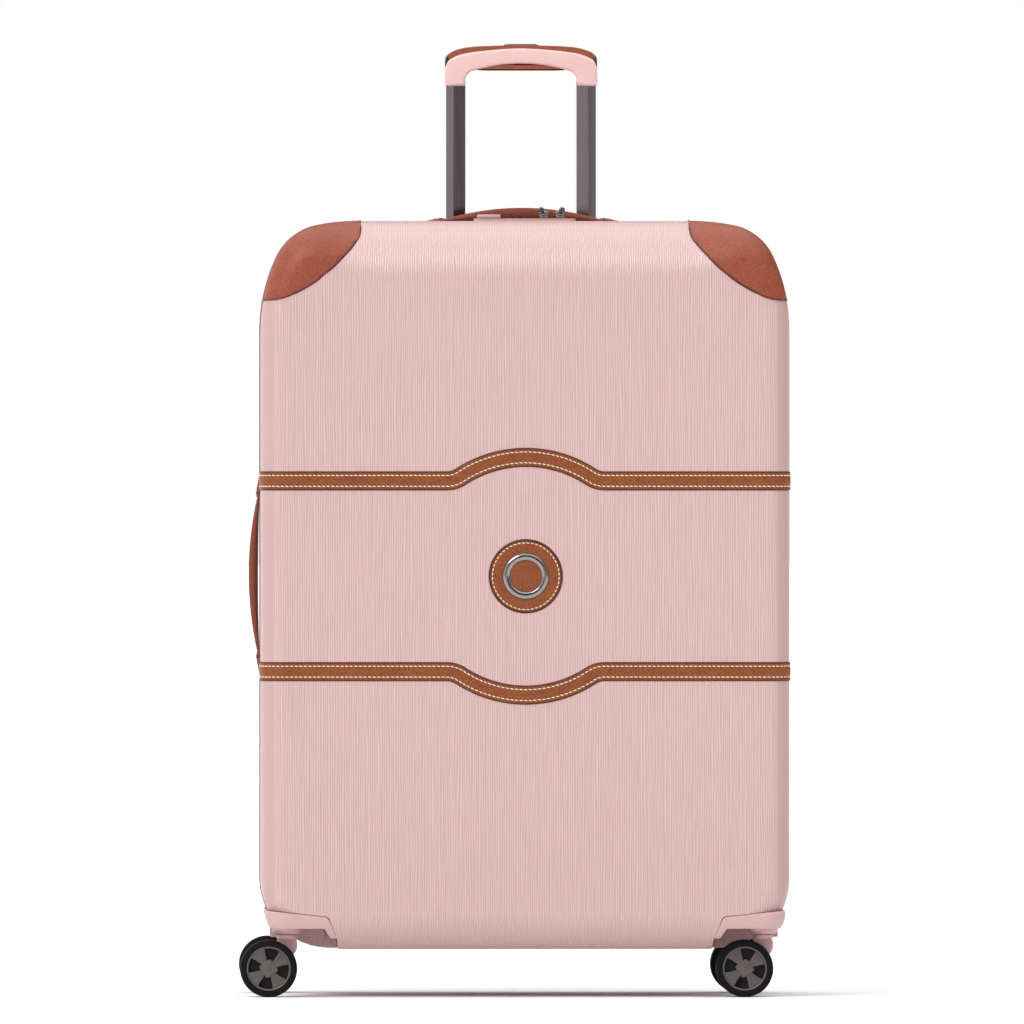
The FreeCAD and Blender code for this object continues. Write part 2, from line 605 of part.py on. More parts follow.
def handle_arch(rise):
    """A padded leather handle along X over Z = 0: arched above, almost flat below."""
    ends = HANDLE_HALF
    foot = rise * HANDLE_FOOT
    low = HANDLE_CLEARANCE
    arch = outline([
        ((-ends, foot), (0, rise), (ends, foot)),
        ((ends, foot), (ends, low)),
        ((ends, low), (0, low + HANDLE_HOLLOW), (-ends, low)),
        ((-ends, low), (-ends, foot))], -HANDLE_WIDTH / 2).extrude(Vector(0, HANDLE_WIDTH, 0))
    return arch.makeFillet(2.0, [edge for edge in arch.Edges if edge.BoundBox.XLength > 100
                                 and edge.BoundBox.ZMax > rise - 0.1])


def handle_mounts(rise):
    """The two fixed ends of a handle, as low wedges beyond the ends of the arch."""
    foot = rise * HANDLE_FOOT
    inner = HANDLE_HALF + 0.6
    wedge = outline([
        ((inner, 0.02), (inner, foot)),
        ((inner, foot), (HANDLE_END - 9, foot * 0.7), (HANDLE_END, 0.6)),
        ((HANDLE_END, 0.6), (HANDLE_END, 0.02)),
        ((HANDLE_END, 0.02), (inner, 0.02))],
        -HANDLE_WIDTH / 2 - 1).extrude(Vector(0, HANDLE_WIDTH + 2, 0))
    return [wedge, flip_x(wedge)]


def build_handles():
    on_top = Placement(Vector(0, HANDLE_Y, CASE_TOP), Rotation())
    on_side = Placement(Vector(-HALF_WIDTH, HANDLE_Y, SIDE_HANDLE_Z),
                        Rotation(Vector(0, 1, 0), -90))
    for name, rise, place in (("top_handle", TOP_HANDLE_RISE, on_top),
                              ("side_handle", SIDE_HANDLE_RISE, on_side)):
        arch, mounts = handle_arch(rise), handle_mounts(rise)
        for solid in [arch] + mounts:
            solid.Placement = place.multiply(solid.Placement)
        save(name, arch)
        save(f"{name}_mounts", *mounts)


# ---------------------------------------------------------------- lock and zip

def build_lock():
    x0, x1 = LOCK_SPAN
    flange = box(x0, x1, LOCK_Y - 15, LOCK_Y + 15, CASE_TOP + 0.02, LOCK_TOP)
    flange = flange.makeFillet(7, upright_edges(flange))
    lower = box(x0 + 3, x1 - 3, LOCK_Y - 12, LOCK_Y + 12, 742, CASE_TOP + 1)
    body = flange.fuse(lower).removeSplitter()
    body = body.cut(box(x0 + 5, x1 - 5, LOCK_Y - 10, LOCK_Y + 10, 735, CASE_TOP))
    axle_ends = (DIAL_XS[0] - 6.0, DIAL_XS[-1] + 6.0)
    for x in axle_ends:
        body = body.fuse(box(x - 1.2, x + 1.2, LOCK_Y - 10, LOCK_Y + 10, 748, CASE_TOP))
    for x in DIAL_XS:
        body = body.cut(box(x - 2.6, x + 2.6, LOCK_Y - 8, LOCK_Y + 8, 750, 770))
    for x in SLIDER_XS:
        body = body.cut(box(x - 4, x + 4, LOCK_Y + 3, LOCK_Y + 7, LOCK_TOP - 1.5, 770))
    body = body.cut(cylinder(1.5, (axle_ends[0] - 2, LOCK_Y, DIAL_Z),
                             (axle_ends[1] + 2, LOCK_Y, DIAL_Z)))
    body = body.cut(box(-38.5, -25.5, LOCK_Y - 3.4, LOCK_Y + 3.4, 750, 770))
    save("lock_body", body)
    save("lock_dial_axle", cylinder(1.5, (axle_ends[0] - 1.2, LOCK_Y, DIAL_Z),
                                    (axle_ends[1] + 1.2, LOCK_Y, DIAL_Z)))
    for number, x in enumerate(DIAL_XS, 1):
        dial = cylinder(DIAL_R, (x - 2.2, LOCK_Y, DIAL_Z), (x + 2.2, LOCK_Y, DIAL_Z))
        save(f"lock_dial_{number}", dial.cut(cylinder(1.55, (x - 5, LOCK_Y, DIAL_Z),
                                                      (x + 5, LOCK_Y, DIAL_Z))))
    slide = box(-45.6, -22.6, LOCK_Y - 7, LOCK_Y + 7, LOCK_TOP + 0.3, 767.4)
    slide = slide.makeFillet(1.5, [edge for edge in slide.Edges if edge.BoundBox.ZMin > 767])
    save("lock_release", slide.fuse(box(-38, -30, LOCK_Y - 3, LOCK_Y + 3, 757, 764)))


def zip_slider(x):
    base = box(x - 6.5, x + 6.5, -4.2, 4.2, CASE_TOP + 1.2, CASE_TOP + 4.4)
    base = base.makeFillet(1.8, upright_edges(base))
    post_front = box(x - 1.6, x + 1.6, -3.6, -1.0, CASE_TOP + 4.0, 773.5)
    y, z = PULLER_PIVOT
    post_front = post_front.fuse(cylinder(3.2, (x - 1.6, y, z + 1.8), (x + 1.6, y, z + 1.8)))
    eye = cylinder(1.4, (x - 5, y, z), (x + 5, y, z))
    return base.fuse(post_front).removeSplitter().cut(eye)


def zip_puller(x):
    """A flat pull that lies over the lock, with a pin through the slider's eye."""
    y, z = PULLER_PIVOT
    pin = cylinder(1.3, (x - 4.2, y, z), (x + 4.2, y, z))
    plate = box(x - 4.2, x + 4.2, y - 29, y - 5.2, z - 1.3, z + 1.0)
    plate = plate.makeFillet(2.2, upright_edges(plate))
    arms = [box(x + side * 3.2 - 1.0, x + side * 3.2 + 1.0, y - 8, y + 1.3, z - 1.3, z + 1.0)
            for side in (-1, 1)]
    return plate.fuse(arms + [pin]).removeSplitter()


def build_zip():
    for side, x in zip(("left", "right"), SLIDER_XS):
        save(f"zip_slider_{side}", zip_slider(x))
        save(f"zip_puller_{side}", zip_puller(x))


# ---------------------------------------------------------------- inside

def build_straps():
    """Two elastic straps that cross inside the rear half, and the buckle where they meet."""
    reach, rise, width = 252.0, 165.0, 36.0
    length = 2 * math.hypot(reach, rise)
    tilt = math.degrees(math.atan2(rise, reach))
    straps = []
    for number, angle in enumerate((tilt, -tilt)):
        y = 16.0 + 1.6 * number
        strap = box(-length / 2, length / 2, y, y + 1.5, -width / 2, width / 2)
        strap.rotate(Vector(0, 0, 0), Vector(0, 1, 0), angle)
        strap.translate(Vector(0, 0, SIDE_HANDLE_Z))
        straps.append(strap.common(box(-reach, reach, 0, 40, 100, 740)))
    save("packing_straps", *straps)
    buckle = box(-26, 26, 9.5, 15.8, SIDE_HANDLE_Z - 21, SIDE_HANDLE_Z + 21)
    save("strap_buckle", buckle.makeFillet(5, [edge for edge in buckle.Edges
                                               if edge.BoundBox.YLength > 5]))


os.makedirs("parts", exist_ok=True)
build_case()
build_badge()
build_casters()
build_trolley()
build_handles()
build_lock()
build_zip()
build_straps()
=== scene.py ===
# %% [markdown]
# # A hard shell suitcase on wheels
#
# This lesson dresses an engineering model of a suitcase. The model comes in as a fixed frame: two
# half shells, a trolley, handles, a lock and four casters, each in its true place. Some of its
# parts keep their shape and get a finish. Others, such as the leather, the stitching, the grip and
# the wheels, are built again here with the detail that a maker gives them.

# %% Load the frame
import json
import math

import bmesh
import bpy
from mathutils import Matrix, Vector, noise
from mathutils.bvhtree import BVHTree


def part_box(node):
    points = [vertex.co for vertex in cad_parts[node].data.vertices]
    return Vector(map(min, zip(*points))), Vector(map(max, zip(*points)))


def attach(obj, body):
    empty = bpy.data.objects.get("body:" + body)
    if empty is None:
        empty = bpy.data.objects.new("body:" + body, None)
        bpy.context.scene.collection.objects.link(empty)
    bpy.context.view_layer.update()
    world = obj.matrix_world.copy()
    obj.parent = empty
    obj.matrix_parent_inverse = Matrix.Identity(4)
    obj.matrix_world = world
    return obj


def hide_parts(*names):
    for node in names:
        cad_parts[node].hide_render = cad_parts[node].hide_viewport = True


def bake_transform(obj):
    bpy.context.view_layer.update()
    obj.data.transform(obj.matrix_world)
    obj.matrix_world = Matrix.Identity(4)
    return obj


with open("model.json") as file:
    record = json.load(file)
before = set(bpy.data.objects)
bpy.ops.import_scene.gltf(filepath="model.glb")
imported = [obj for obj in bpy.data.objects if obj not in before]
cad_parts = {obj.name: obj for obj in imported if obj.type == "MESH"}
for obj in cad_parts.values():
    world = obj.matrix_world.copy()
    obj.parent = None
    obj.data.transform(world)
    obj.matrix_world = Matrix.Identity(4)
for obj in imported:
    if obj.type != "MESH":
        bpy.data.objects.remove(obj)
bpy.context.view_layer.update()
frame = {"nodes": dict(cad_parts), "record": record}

# %% [markdown]
# ## Camera
#
# A long lens far away draws the case almost without perspective, as product pictures are taken.
# The lens follows from what it must cover: a metre of width at the distance of the camera.

# %% Camera
DISTANCE = 22.0            # metres
FRAME_WIDTH = 1.0076       # metres, at the case
LOOK_AT = Vector((-0.0108, 0.0, 0.4748))
FROM_LEFT = math.radians(1.0)
lens = bpy.data.cameras.new("long_lens")
lens.sensor_width = 36.0
lens.lens = lens.sensor_width * DISTANCE / FRAME_WIDTH
lens.clip_end = 200.0
camera = bpy.data.objects.new("camera", lens)
camera.location = LOOK_AT - DISTANCE * Vector((math.sin(FROM_LEFT), math.cos(FROM_LEFT), 0))
camera.rotation_euler = (math.radians(90), 0, -FROM_LEFT)
bpy.context.scene.collection.objects.link(camera)
bpy.context.scene.camera = camera
print("lens:", round(lens.lens), "mm")

# %% [markdown]
# ## Colours and nodes
#
# A colour is written as the sRGB hex code that a colour picker shows, and one function turns it
# to the linear values that light is worked out in. A second function adds a shader node: it sets
# what is a value and links what comes from another node. The short ones after it add the kinds of
# node that nearly every finish needs: a sum, a colour between two, a noise and a bump.

# %% Colour and node helpers
def colour(code):
    """Linear RGBA from an sRGB hex code."""
    parts = [int(code[i:i + 2], 16) / 255 for i in (1, 3, 5)]
    return [c / 12.92 if c <= 0.04045 else ((c + 0.055) / 1.055) ** 2.4 for c in parts] + [1.0]


def add(tree, kind, inputs=None, **settings):
    """A new node with its settings. An input is a value, or another node's output to link."""
    node = tree.nodes.new("ShaderNode" + kind)
    for name, value in settings.items():
        setattr(node, name, value)
    for socket, value in (inputs or {}).items():
        if isinstance(value, bpy.types.NodeSocket):
            tree.links.new(value, node.inputs[socket])
        else:
            node.inputs[socket].default_value = value
    return node


def start_material(name, **values):
    """A material with one surface shader, its tree, the shader and a place in millimetres."""
    material = bpy.data.materials.new(name)
    material.use_nodes = True
    tree = material.node_tree
    tree.nodes.clear()
    shader = add(tree, "BsdfPrincipled", {key.replace("_", " "): v for key, v in values.items()})
    add(tree, "OutputMaterial", {"Surface": shader.outputs["BSDF"]})
    where = add(tree, "TexCoord").outputs["Object"]
    place = add(tree, "Mapping", {"Vector": where, "Scale": (1000, 1000, 1000)}).outputs["Vector"]
    return material, tree, shader, place


def maths(tree, operation, *values):
    """The result of a sum on numbers or sockets."""
    return add(tree, "Math", dict(enumerate(values)), operation=operation).outputs[0]


def between(tree, share, dark, light):
    """A colour between two, by a share from 0 to 1."""
    return add(tree, "Mix", {0: share, 6: dark, 7: light}, data_type="RGBA").outputs[2]


def speckle(tree, place, grain, detail, roughness=0.5):
    """A noise with a grain in the units of the place."""
    return add(tree, "TexNoise", {"Vector": place, "Scale": 1 / grain, "Detail": detail,
                                  "Roughness": roughness}).outputs["Fac"]


def bumped(tree, height, strength, distance, **more):
    """The normal of a surface with a bump of a distance in metres."""
    settings = {"invert": more.pop("invert", False)}
    inputs = {"Height": height, "Strength": strength, "Distance": distance, **more}
    return add(tree, "Bump", inputs, **settings).outputs["Normal"]


def dress(tree, shader, **outputs):
    """Links outputs to the inputs of a shader."""
    for name, output in outputs.items():
        tree.links.new(output, shader.inputs[name.replace("_", " ")])


# the darker shell pink is painted shade for the rib valleys and the smooth margins
SHELL_PAINTED_SHADE, SHELL_LIGHT = colour("#B59491"), colour("#CAAAA7")
print("the shell's light pink in linear light:", [round(c, 3) for c in SHELL_LIGHT])

# %% [markdown]
# ## Floor and light
#
# A large white sweep would show its edge from behind, so the floor is one wide white sheet. The
# sky is a soft studio: a bright light box on the left, a dim one on the right and a bright ceiling,
# dark in front, so that metal mirrors light and dark. Where the camera sees it, it is plain white.
# A broad sun from the upper left is the key light and draws a soft shadow to the right.

# %% Floor
floor_mesh = bpy.data.meshes.new("floor")
REACH = 400.0              # metres
floor_mesh.from_pydata([(-REACH, -REACH, 0), (REACH, -REACH, 0), (REACH, REACH, 0),
                        (-REACH, REACH, 0)], [], [(0, 1, 2, 3)])
floor = bpy.data.objects.new("floor", floor_mesh)
bpy.context.scene.collection.objects.link(floor)
paper = start_material("white_paper", Roughness=0.9, Base_Color=colour("#F4F4F4"))[0]
floor_mesh.materials.append(paper)

# %% Sky
world = bpy.data.worlds.new("studio")
bpy.context.scene.world = world
world.use_nodes = True
sky = world.node_tree
sky.nodes.clear()
way = add(sky, "SeparateXYZ", {"Vector": add(sky, "TexCoord").outputs["Generated"]})
left = add(sky, "MapRange", {"Value": way.outputs["X"], "From Min": -0.12, "From Max": -0.4,
                             "To Min": 0.1, "To Max": 1.0})
right = add(sky, "MapRange", {"Value": way.outputs["X"], "From Min": 0.75, "From Max": 0.95,
                              "To Min": 0.1, "To Max": 0.4})
ceiling = add(sky, "MapRange", {"Value": way.outputs["Z"], "From Min": 0.4, "From Max": 0.95,
                                "To Min": 0.0, "To Max": 2.2})
boxes = maths(sky, "MAXIMUM", left.outputs["Result"], right.outputs["Result"])
glow = maths(sky, "MAXIMUM", boxes, ceiling.outputs["Result"])
seen = add(sky, "LightPath").outputs["Is Camera Ray"]
level = add(sky, "Mix", {"Factor": seen, "A": glow, "B": 1.0})
backdrop = add(sky, "Background", {"Color": (1, 1, 1, 1), "Strength": level.outputs["Result"]})
add(sky, "OutputWorld", {"Surface": backdrop.outputs["Background"]})

# %% Suns
SUNS = {"key": (1.35, 25, (50, 0, -35)), "fill": (0.3, 60, (60, 0, 50))}  # power, width, turn
for name, (power, width, turn) in SUNS.items():
    light = bpy.data.lights.new(name, "SUN")
    light.energy = power
    light.angle = math.radians(width)
    sun = bpy.data.objects.new(name, light)
    sun.rotation_euler = [math.radians(a) for a in turn]
    bpy.context.scene.collection.objects.link(sun)
bpy.context.scene.view_settings.view_transform = "Standard"

# %% [markdown]
# ## Ribbed polycarbonate
#
# The two half shells are vacuum formed from polycarbonate sheet in a mould with fine upright ribs.
# The eye gets a satin pink with a quiet, slightly wavy grain. A wave texture gives the ribs, with
# noise that bends them. On the front and the top they follow X, on the side walls Y. They stop
# short of the rounded sides and of the zip, where the mould is smooth. The pink is painted shade
# that follows the relief: darker in the rib valleys and on the smooth sides and rim.

# %% Shell finish
RIB_PITCH = 2.3            # millimetres
SMOOTH_FROM = 246.0        # ribs end this far from the middle
SMOOTH_RIM = 20.0          # and this far from the zip

shell_pc, tree, shader, place = start_material("ribbed_polycarbonate", Roughness=0.36, IOR=1.585)
along_rib = add(tree, "Mapping", {"Vector": place, "Scale": (1, 1, 0.05)}).outputs["Vector"]
ribs = {}
for axis in "XY":
    ribs[axis] = add(tree, "TexWave", {"Vector": along_rib, "Scale": math.tau / 20 / RIB_PITCH,
                                       "Distortion": 5.0, "Detail": 3.0, "Detail Scale": 1.6},
                     bands_direction=axis).outputs["Fac"]
facing = add(tree, "SeparateXYZ", {"Vector": add(tree, "TexCoord").outputs["Normal"]})
where = add(tree, "SeparateXYZ", {"Vector": place})
sideways, out, deep = [maths(tree, "ABSOLUTE", source.outputs[axis])
                       for source, axis in ((facing, "X"), (where, "X"), (where, "Y"))]
on_side = add(tree, "MapRange", {"Value": sideways, "From Min": 0.9, "From Max": 0.97})
on_face = add(tree, "MapRange", {"Value": out, "From Min": SMOOTH_FROM + 1.5,
                                 "From Max": SMOOTH_FROM - 1.5})
off_rim = add(tree, "MapRange", {"Value": deep, "From Min": SMOOTH_RIM - 1,
                                 "From Max": SMOOTH_RIM + 1})
both = maths(tree, "ADD", maths(tree, "MULTIPLY", on_face.outputs["Result"], ribs["X"]),
             maths(tree, "MULTIPLY", on_side.outputs["Result"], ribs["Y"]))
relief = maths(tree, "MULTIPLY", both, off_rim.outputs["Result"])
fine = bumped(tree, speckle(tree, place, 0.9, 3.0), 0.12, 0.0002)
# painted shade: the pink darkens in the rib valleys and where there are no ribs, at the rounded
# sides and the rim
dress(tree, shader, Normal=bumped(tree, relief, 0.5, 0.0005, Normal=fine),
      Base_Color=between(tree, relief, SHELL_PAINTED_SHADE, SHELL_LIGHT))
print("ribs every", RIB_PITCH, "mm")

# %% [markdown]
# ## Moulded plastics
#
# The wheel housings, forks, lock and grip are injection moulded. ABS in the shell's pink has a
# mould with a fine spark texture, and dark nylon is a little coarser. Both are mostly smooth, so a
# small noise bump and a slight change of tone are enough. Real spark grain is about 0.1 mm; here
# it is 0.7 mm or more, as coarse as it needs to show. The tyres are dull, so their specular level
# is well below the usual 0.5. The floor of the hub's windows is painted shade: the hub's nylon
# made near black, with a low specular level too.

# %% Moulded finishes
def moulded(name, light, dark, grain, roughness, ior, specular=0.5):
    """A moulded plastic in two close tones, with a spark texture of a grain in millimetres."""
    material, tree, shader, place = start_material(name, Roughness=roughness, IOR=ior,
                                                   Specular_IOR_Level=specular)
    cloud = speckle(tree, place, 25, 2.0)
    dress(tree, shader, Base_Color=between(tree, cloud, colour(dark), colour(light)),
          Normal=bumped(tree, speckle(tree, place, grain, 2.0), 0.25, 0.0002))
    return material


pink_abs = moulded("moulded_pink_abs", "#C4A2A1", "#BC9897", 0.7, 0.34, 1.54)
grip_abs = moulded("pale_pink_abs", "#DEBBB6", "#D8B2AD", 0.7, 0.25, 1.54)
dark_nylon = moulded("moulded_dark_nylon", "#2E2B2E", "#232124", 0.8, 0.45, 1.53)
hub_nylon = moulded("glass_filled_nylon", "#554F4B", "#46413D", 0.8, 0.38, 1.53)
# painted shade: the hub's nylon drawn near black for the floor of its sunk windows
hub_shade = moulded("hub_window_painted_shade", "#1A1717", "#141212", 0.8, 0.6, 1.53, 0.2)
tyre_pu = moulded("moulded_polyurethane", "#101014", "#0B0B0E", 1.1, 0.6, 1.5, 0.12)
zip_nylon = moulded("dyed_nylon_coil", "#57352C", "#432820", 0.8, 0.4, 1.53)

# %% [markdown]
# ## Leather and thread
#
# The bands, corners, badge and handles are tan leather, split thin and glued or sewn over a
# backing. Its top coat is smooth, with fine pebbles about 1.4 mm across and cloudy dye, and the
# creases between the pebbles are painted darker as shade. Edges are turned under. Each leather
# piece carries a value called edge, 1 where its edges roll away and on the underside of the
# handles, and the colour follows it to a dark brown: painted shade. The coat mirrors little, so
# its specular level is 0.3 where 0.5 is usual.

# %% Leather finishes
def leather(name, light, dark, shade_tone, pebble=1.4, roughness=0.44):
    """Dyed leather in two tones, with a pebble grain in mm. Its creases and the places whose edge
    value is 1 are painted darker as shade.
    """
    material, tree, shader, place = start_material(name, Roughness=roughness, IOR=1.5,
                                                   Specular_IOR_Level=0.3)
    cloud = speckle(tree, place, 16, 5.0, 0.65)
    dye = between(tree, cloud, colour(dark), colour(light))
    pebbles = add(tree, "TexVoronoi", {"Vector": place, "Scale": 1 / pebble}, feature="F1")
    # painted shade: the creases between the pebbles turn toward the dark tone
    crease = add(tree, "MapRange", {"Value": pebbles.outputs["Distance"], "From Min": 0.35,
                                    "From Max": 0.85, "To Max": 0.5})
    crease = crease.outputs["Result"]
    creased = between(tree, crease, dye, colour(shade_tone))
    # painted shade: where the edge value is 1 the colour is the dark tone
    edge = add(tree, "Attribute", attribute_name="edge").outputs["Fac"]
    fine = bumped(tree, speckle(tree, place, 0.8, 3.0), 0.2, 0.0002)
    dress(tree, shader, Base_Color=between(tree, edge, creased, colour(shade_tone)),
          Normal=bumped(tree, crease, 0.35, 0.0004, Normal=fine, invert=True))
    return material


band_leather = leather("tan_leather", "#905029", "#7A3B1C", "#451B10")
corner_leather = leather("red_brown_leather", "#9B4F37", "#863D29", "#532219")
handle_leather = leather("dark_red_brown_leather", "#8A452E", "#753420", "#47190F")
grip_leather = leather("soft_touch_brown_tpu", "#9A5238", "#87432E", "#522419", 1.1, 0.5)
thread = moulded("bonded_polyester_thread", "#F6E6C4", "#E4CDA0", 0.9, 0.5, 1.5)
red_thread = moulded("red_brown_thread", "#8E4431", "#7C382A", 0.9, 0.5, 1.5)

# %% [markdown]
# ## Metals
#
# The trolley tubes are drawn aluminium, anodised a warm gunmetal: the drawing die leaves faint
# lines along Z. The zip sliders and pullers are die-cast zinc under dark nickel, the badge ring is
# polished, and the pins and axles are bright steel. A metal shows mostly what it mirrors.

# %% Metal finishes
def metal(name, light, dark, roughness, lines=(1, 1, 1), grain=1.2):
    """A metal in two close tones, with a grain in millimetres that can be stretched to lines."""
    material, tree, shader, place = start_material(name, Metallic=1.0)
    drawn = add(tree, "Mapping", {"Vector": place, "Scale": lines}).outputs["Vector"]
    streak = speckle(tree, drawn, grain, 3.0)
    gloss = add(tree, "MapRange", {"Value": streak, "To Min": roughness - 0.05,
                                   "To Max": roughness + 0.05}).outputs["Result"]
    dress(tree, shader, Base_Color=between(tree, streak, colour(dark), colour(light)),
          Roughness=gloss, Normal=bumped(tree, streak, 0.12, 0.0001))
    return material


tube_aluminium = metal("anodised_aluminium", "#7C7376", "#6A6165", 0.14, (1, 1, 0.01), 0.9)
nickel_zinc = metal("dark_nickel_on_zinc", "#77727A", "#676269", 0.3)
polished_nickel = metal("polished_nickel", "#969190", "#86817F", 0.12)
bright_steel = metal("bright_steel", "#A8A8AC", "#98989C", 0.28)

# %% [markdown]
# ## Woven goods
#
# The lining is a plain weave of fine polyester, the packing straps are elastic webbing and the zip
# tape is a tight twill. Waves along X, Y and Z are added up, and on any wall two of them cross as
# warp and weft. Real threads are 0.3 to 0.5 mm apart; they are drawn at 1.1 mm and more, the least
# that shows here. Loose fibre ends catch light at a low angle, which is what sheen is for.

# %% Woven finishes
def woven(name, light, dark, thread_pitch):
    """A plain weave with threads a pitch in millimetres apart."""
    material, tree, shader, place = start_material(name, Roughness=0.85, Sheen_Weight=0.25,
                                                   Sheen_Roughness=0.5)
    waves = [add(tree, "TexWave", {"Vector": place, "Scale": math.tau / 20 / thread_pitch,
                                   "Distortion": 0.6}, bands_direction=axis).outputs["Fac"]
             for axis in "XYZ"]
    cloth = maths(tree, "ADD", maths(tree, "ADD", waves[0], waves[1]), waves[2])
    weave = add(tree, "MapRange", {"Value": cloth, "From Max": 3.0}).outputs["Result"]
    dress(tree, shader, Base_Color=between(tree, weave, colour(dark), colour(light)),
          Normal=bumped(tree, weave, 0.5, 0.0006))
    return material


lining_cloth = woven("polyester_lining", "#C9B8AE", "#AE9C93", 1.3)
strap_webbing = woven("elastic_webbing", "#955A40", "#7A4330", 1.6)
tape_twill = woven("polyester_twill_tape", "#6B4336", "#54332A", 1.1)
print("finishes:", len(bpy.data.materials))

# %% [markdown]
# ## The parts that keep their shape
#
# Every part of the frame gets the finish that its slot in the parts list calls for. Moulded parts
# never have knife edges, so a weld and a small bevel round the edges of those that stay in view.

# %% Finish by slot
FINISHES = {"shell": shell_pc, "moulding": pink_abs, "leather": corner_leather,
            "gunmetal": nickel_zinc, "tube": tube_aluminium, "steel": bright_steel,
            "dark_plastic": dark_nylon, "lining": lining_cloth, "webbing": strap_webbing,
            "zip_tape": tape_twill, "hub": hub_nylon, "tyre": tyre_pu}
for entry in frame["record"]["subparts"]:
    data = frame["nodes"][entry["node"]].data
    data.materials.clear()
    data.materials.append(FINISHES[entry["material_slot"]])

# %% Rounded edges
ROUNDING = {"lock_body": 0.6, "front_wheel_housings": 0.8, "rear_wheel_housings": 0.8,
            "trolley_tray": 0.5, "front_corner_guards": 0.4, "rear_corner_guards": 0.4}  # mm
for node, width in ROUNDING.items():
    part = frame["nodes"][node]
    part.modifiers.new("weld", "WELD").merge_threshold = 1e-5
    bevel = part.modifiers.new("rounded", "BEVEL")
    bevel.width = width / 1000
    bevel.segments = 2
    bevel.angle_limit = math.radians(35)
    bevel.harden_normals = True
print("softened parts:", sum(1 for part in frame["nodes"].values() if part.modifiers))

# %% [markdown]
# ## Points, faces and pieces
#
# Everything that follows is built from points in millimetres. A skin joins a row of rings, which
# covers straps, turned parts and slabs alike: a strap has rings along its path, a turned part has
# rings about its axis, and a slab has the same outline at several depths, drawn in at its rims.

# %% Measures of the frame
def box_mm(node):
    """The low and the high corner of a part's box in millimetres."""
    return [corner * 1000 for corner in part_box(node)]


def middle_mm(node, axis):
    """The middle of a part's box along an axis, in millimetres."""
    low, high = [getattr(corner, axis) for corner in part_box(node)]
    return (low + high) * 500


# %% Skins
def skin(rings, closed=False):
    """Points and faces of a surface over rings, with caps on its ends unless it is closed."""
    count = len(rings[0])
    points = [point for ring in rings for point in ring]
    faces = []
    for a in range(len(rings) if closed else len(rings) - 1):
        b = (a + 1) % len(rings)
        for i in range(count):
            j = (i + 1) % count
            faces.append((a * count + i, a * count + j, b * count + j, b * count + i))
    if not closed:
        faces += [tuple(range(count)), tuple(range(len(points) - count, len(points)))]
    return points, faces


def joined(parts):
    """One set of points and faces from several."""
    points, faces = [], []
    for some_points, some_faces in parts:
        start = len(points)
        points += some_points
        faces += [[start + i for i in face] for face in some_faces]
    return points, faces


def piece(name, shape, material, body=None, stands_for=(), edge=None, sharp=40):
    """A new piece that rides on a body, stands for parts of the frame and may carry painted shade.
    """
    points, faces = shape
    mesh = bpy.data.meshes.new(name)
    mesh.from_pydata([Vector(point) / 1000 for point in points], [], faces)
    if edge:
        mesh.attributes.new("edge", "FLOAT", "POINT").data.foreach_set("value", edge)
    build = bmesh.new()
    build.from_mesh(mesh)
    bmesh.ops.remove_doubles(build, verts=build.verts, dist=1e-6)
    bmesh.ops.recalc_face_normals(build, faces=build.faces)
    build.to_mesh(mesh)
    build.free()
    mesh.materials.append(material)
    mesh.shade_smooth()
    mesh.set_sharp_from_angle(angle=math.radians(sharp))
    made = bpy.data.objects.new(name, mesh)
    bpy.context.scene.collection.objects.link(made)
    if body:
        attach(made, body)
    if stands_for:
        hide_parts(*stands_for)
    print(f"{name}: {len(mesh.vertices)} points")
    return made


# %% Outlines
def ellipse(across, up, count):
    """Points round an ellipse with two half widths."""
    return [(math.cos(a) * across, math.sin(a) * up)
            for a in [math.tau * k / count for k in range(count)]]


def rounded(corners, radius, steps=4):
    """A closed outline with its corners rounded."""
    corners = [Vector(corner) for corner in corners]
    outline = []
    for i, corner in enumerate(corners):
        back, on = corners[i - 1] - corner, corners[(i + 1) % len(corners)] - corner
        reach = min(radius, back.length * 0.49, on.length * 0.49)
        start, end = corner + back.normalized() * reach, corner + on.normalized() * reach
        for step in range(steps + 1):
            t = step / steps
            outline.append(start * (1 - t) ** 2 + corner * 2 * t * (1 - t) + end * t ** 2)
    return outline


def oblong(half_x, half_y, radius, x=0):
    """A rectangle with rounded corners, given by its half sizes and the place of its middle."""
    return rounded([(x - half_x, -half_y), (x + half_x, -half_y), (x + half_x, half_y),
                    (x - half_x, half_y)], radius)


def mirrored(half):
    """A half given from one side to the middle, and its mirror image across the first axis."""
    return half + [(-p[0], *p[1:]) for p in reversed(half) if abs(p[0]) > 0.001]


def smooth_line(knots, steps=8):
    """Points on a smooth curve through the knots."""
    knots = [Vector(knot) for knot in knots]
    ends = [2 * knots[0] - knots[1]] + knots + [2 * knots[-1] - knots[-2]]
    line = []
    for a, b, c, d in zip(ends, ends[1:], ends[2:], ends[3:]):
        for step in range(steps):
            t = step / steps
            line.append(0.5 * ((2 * b) + (c - a) * t + (2 * a - 5 * b + 4 * c - d) * t ** 2
                               + (3 * b - a - 3 * c + d) * t ** 3))
    return line + [knots[-1]]


def drawn_in(outline, distance):
    """An outline moved inwards by a distance."""
    area = sum(a.x * b.y - b.x * a.y for a, b in zip(outline, outline[1:] + outline[:1]))
    turn = 1 if area > 0 else -1
    moved = []
    for i, point in enumerate(outline):
        along = outline[(i + 1) % len(outline)] - outline[i - 1]
        inward = Vector((-along.y, along.x)).normalized() * turn
        moved.append(point + inward * distance)
    return moved


RIM = [(0, 1), (0.12, 0.5), (0.45, 0.13), (1, 0)]    # depth and inset, as shares of a rim


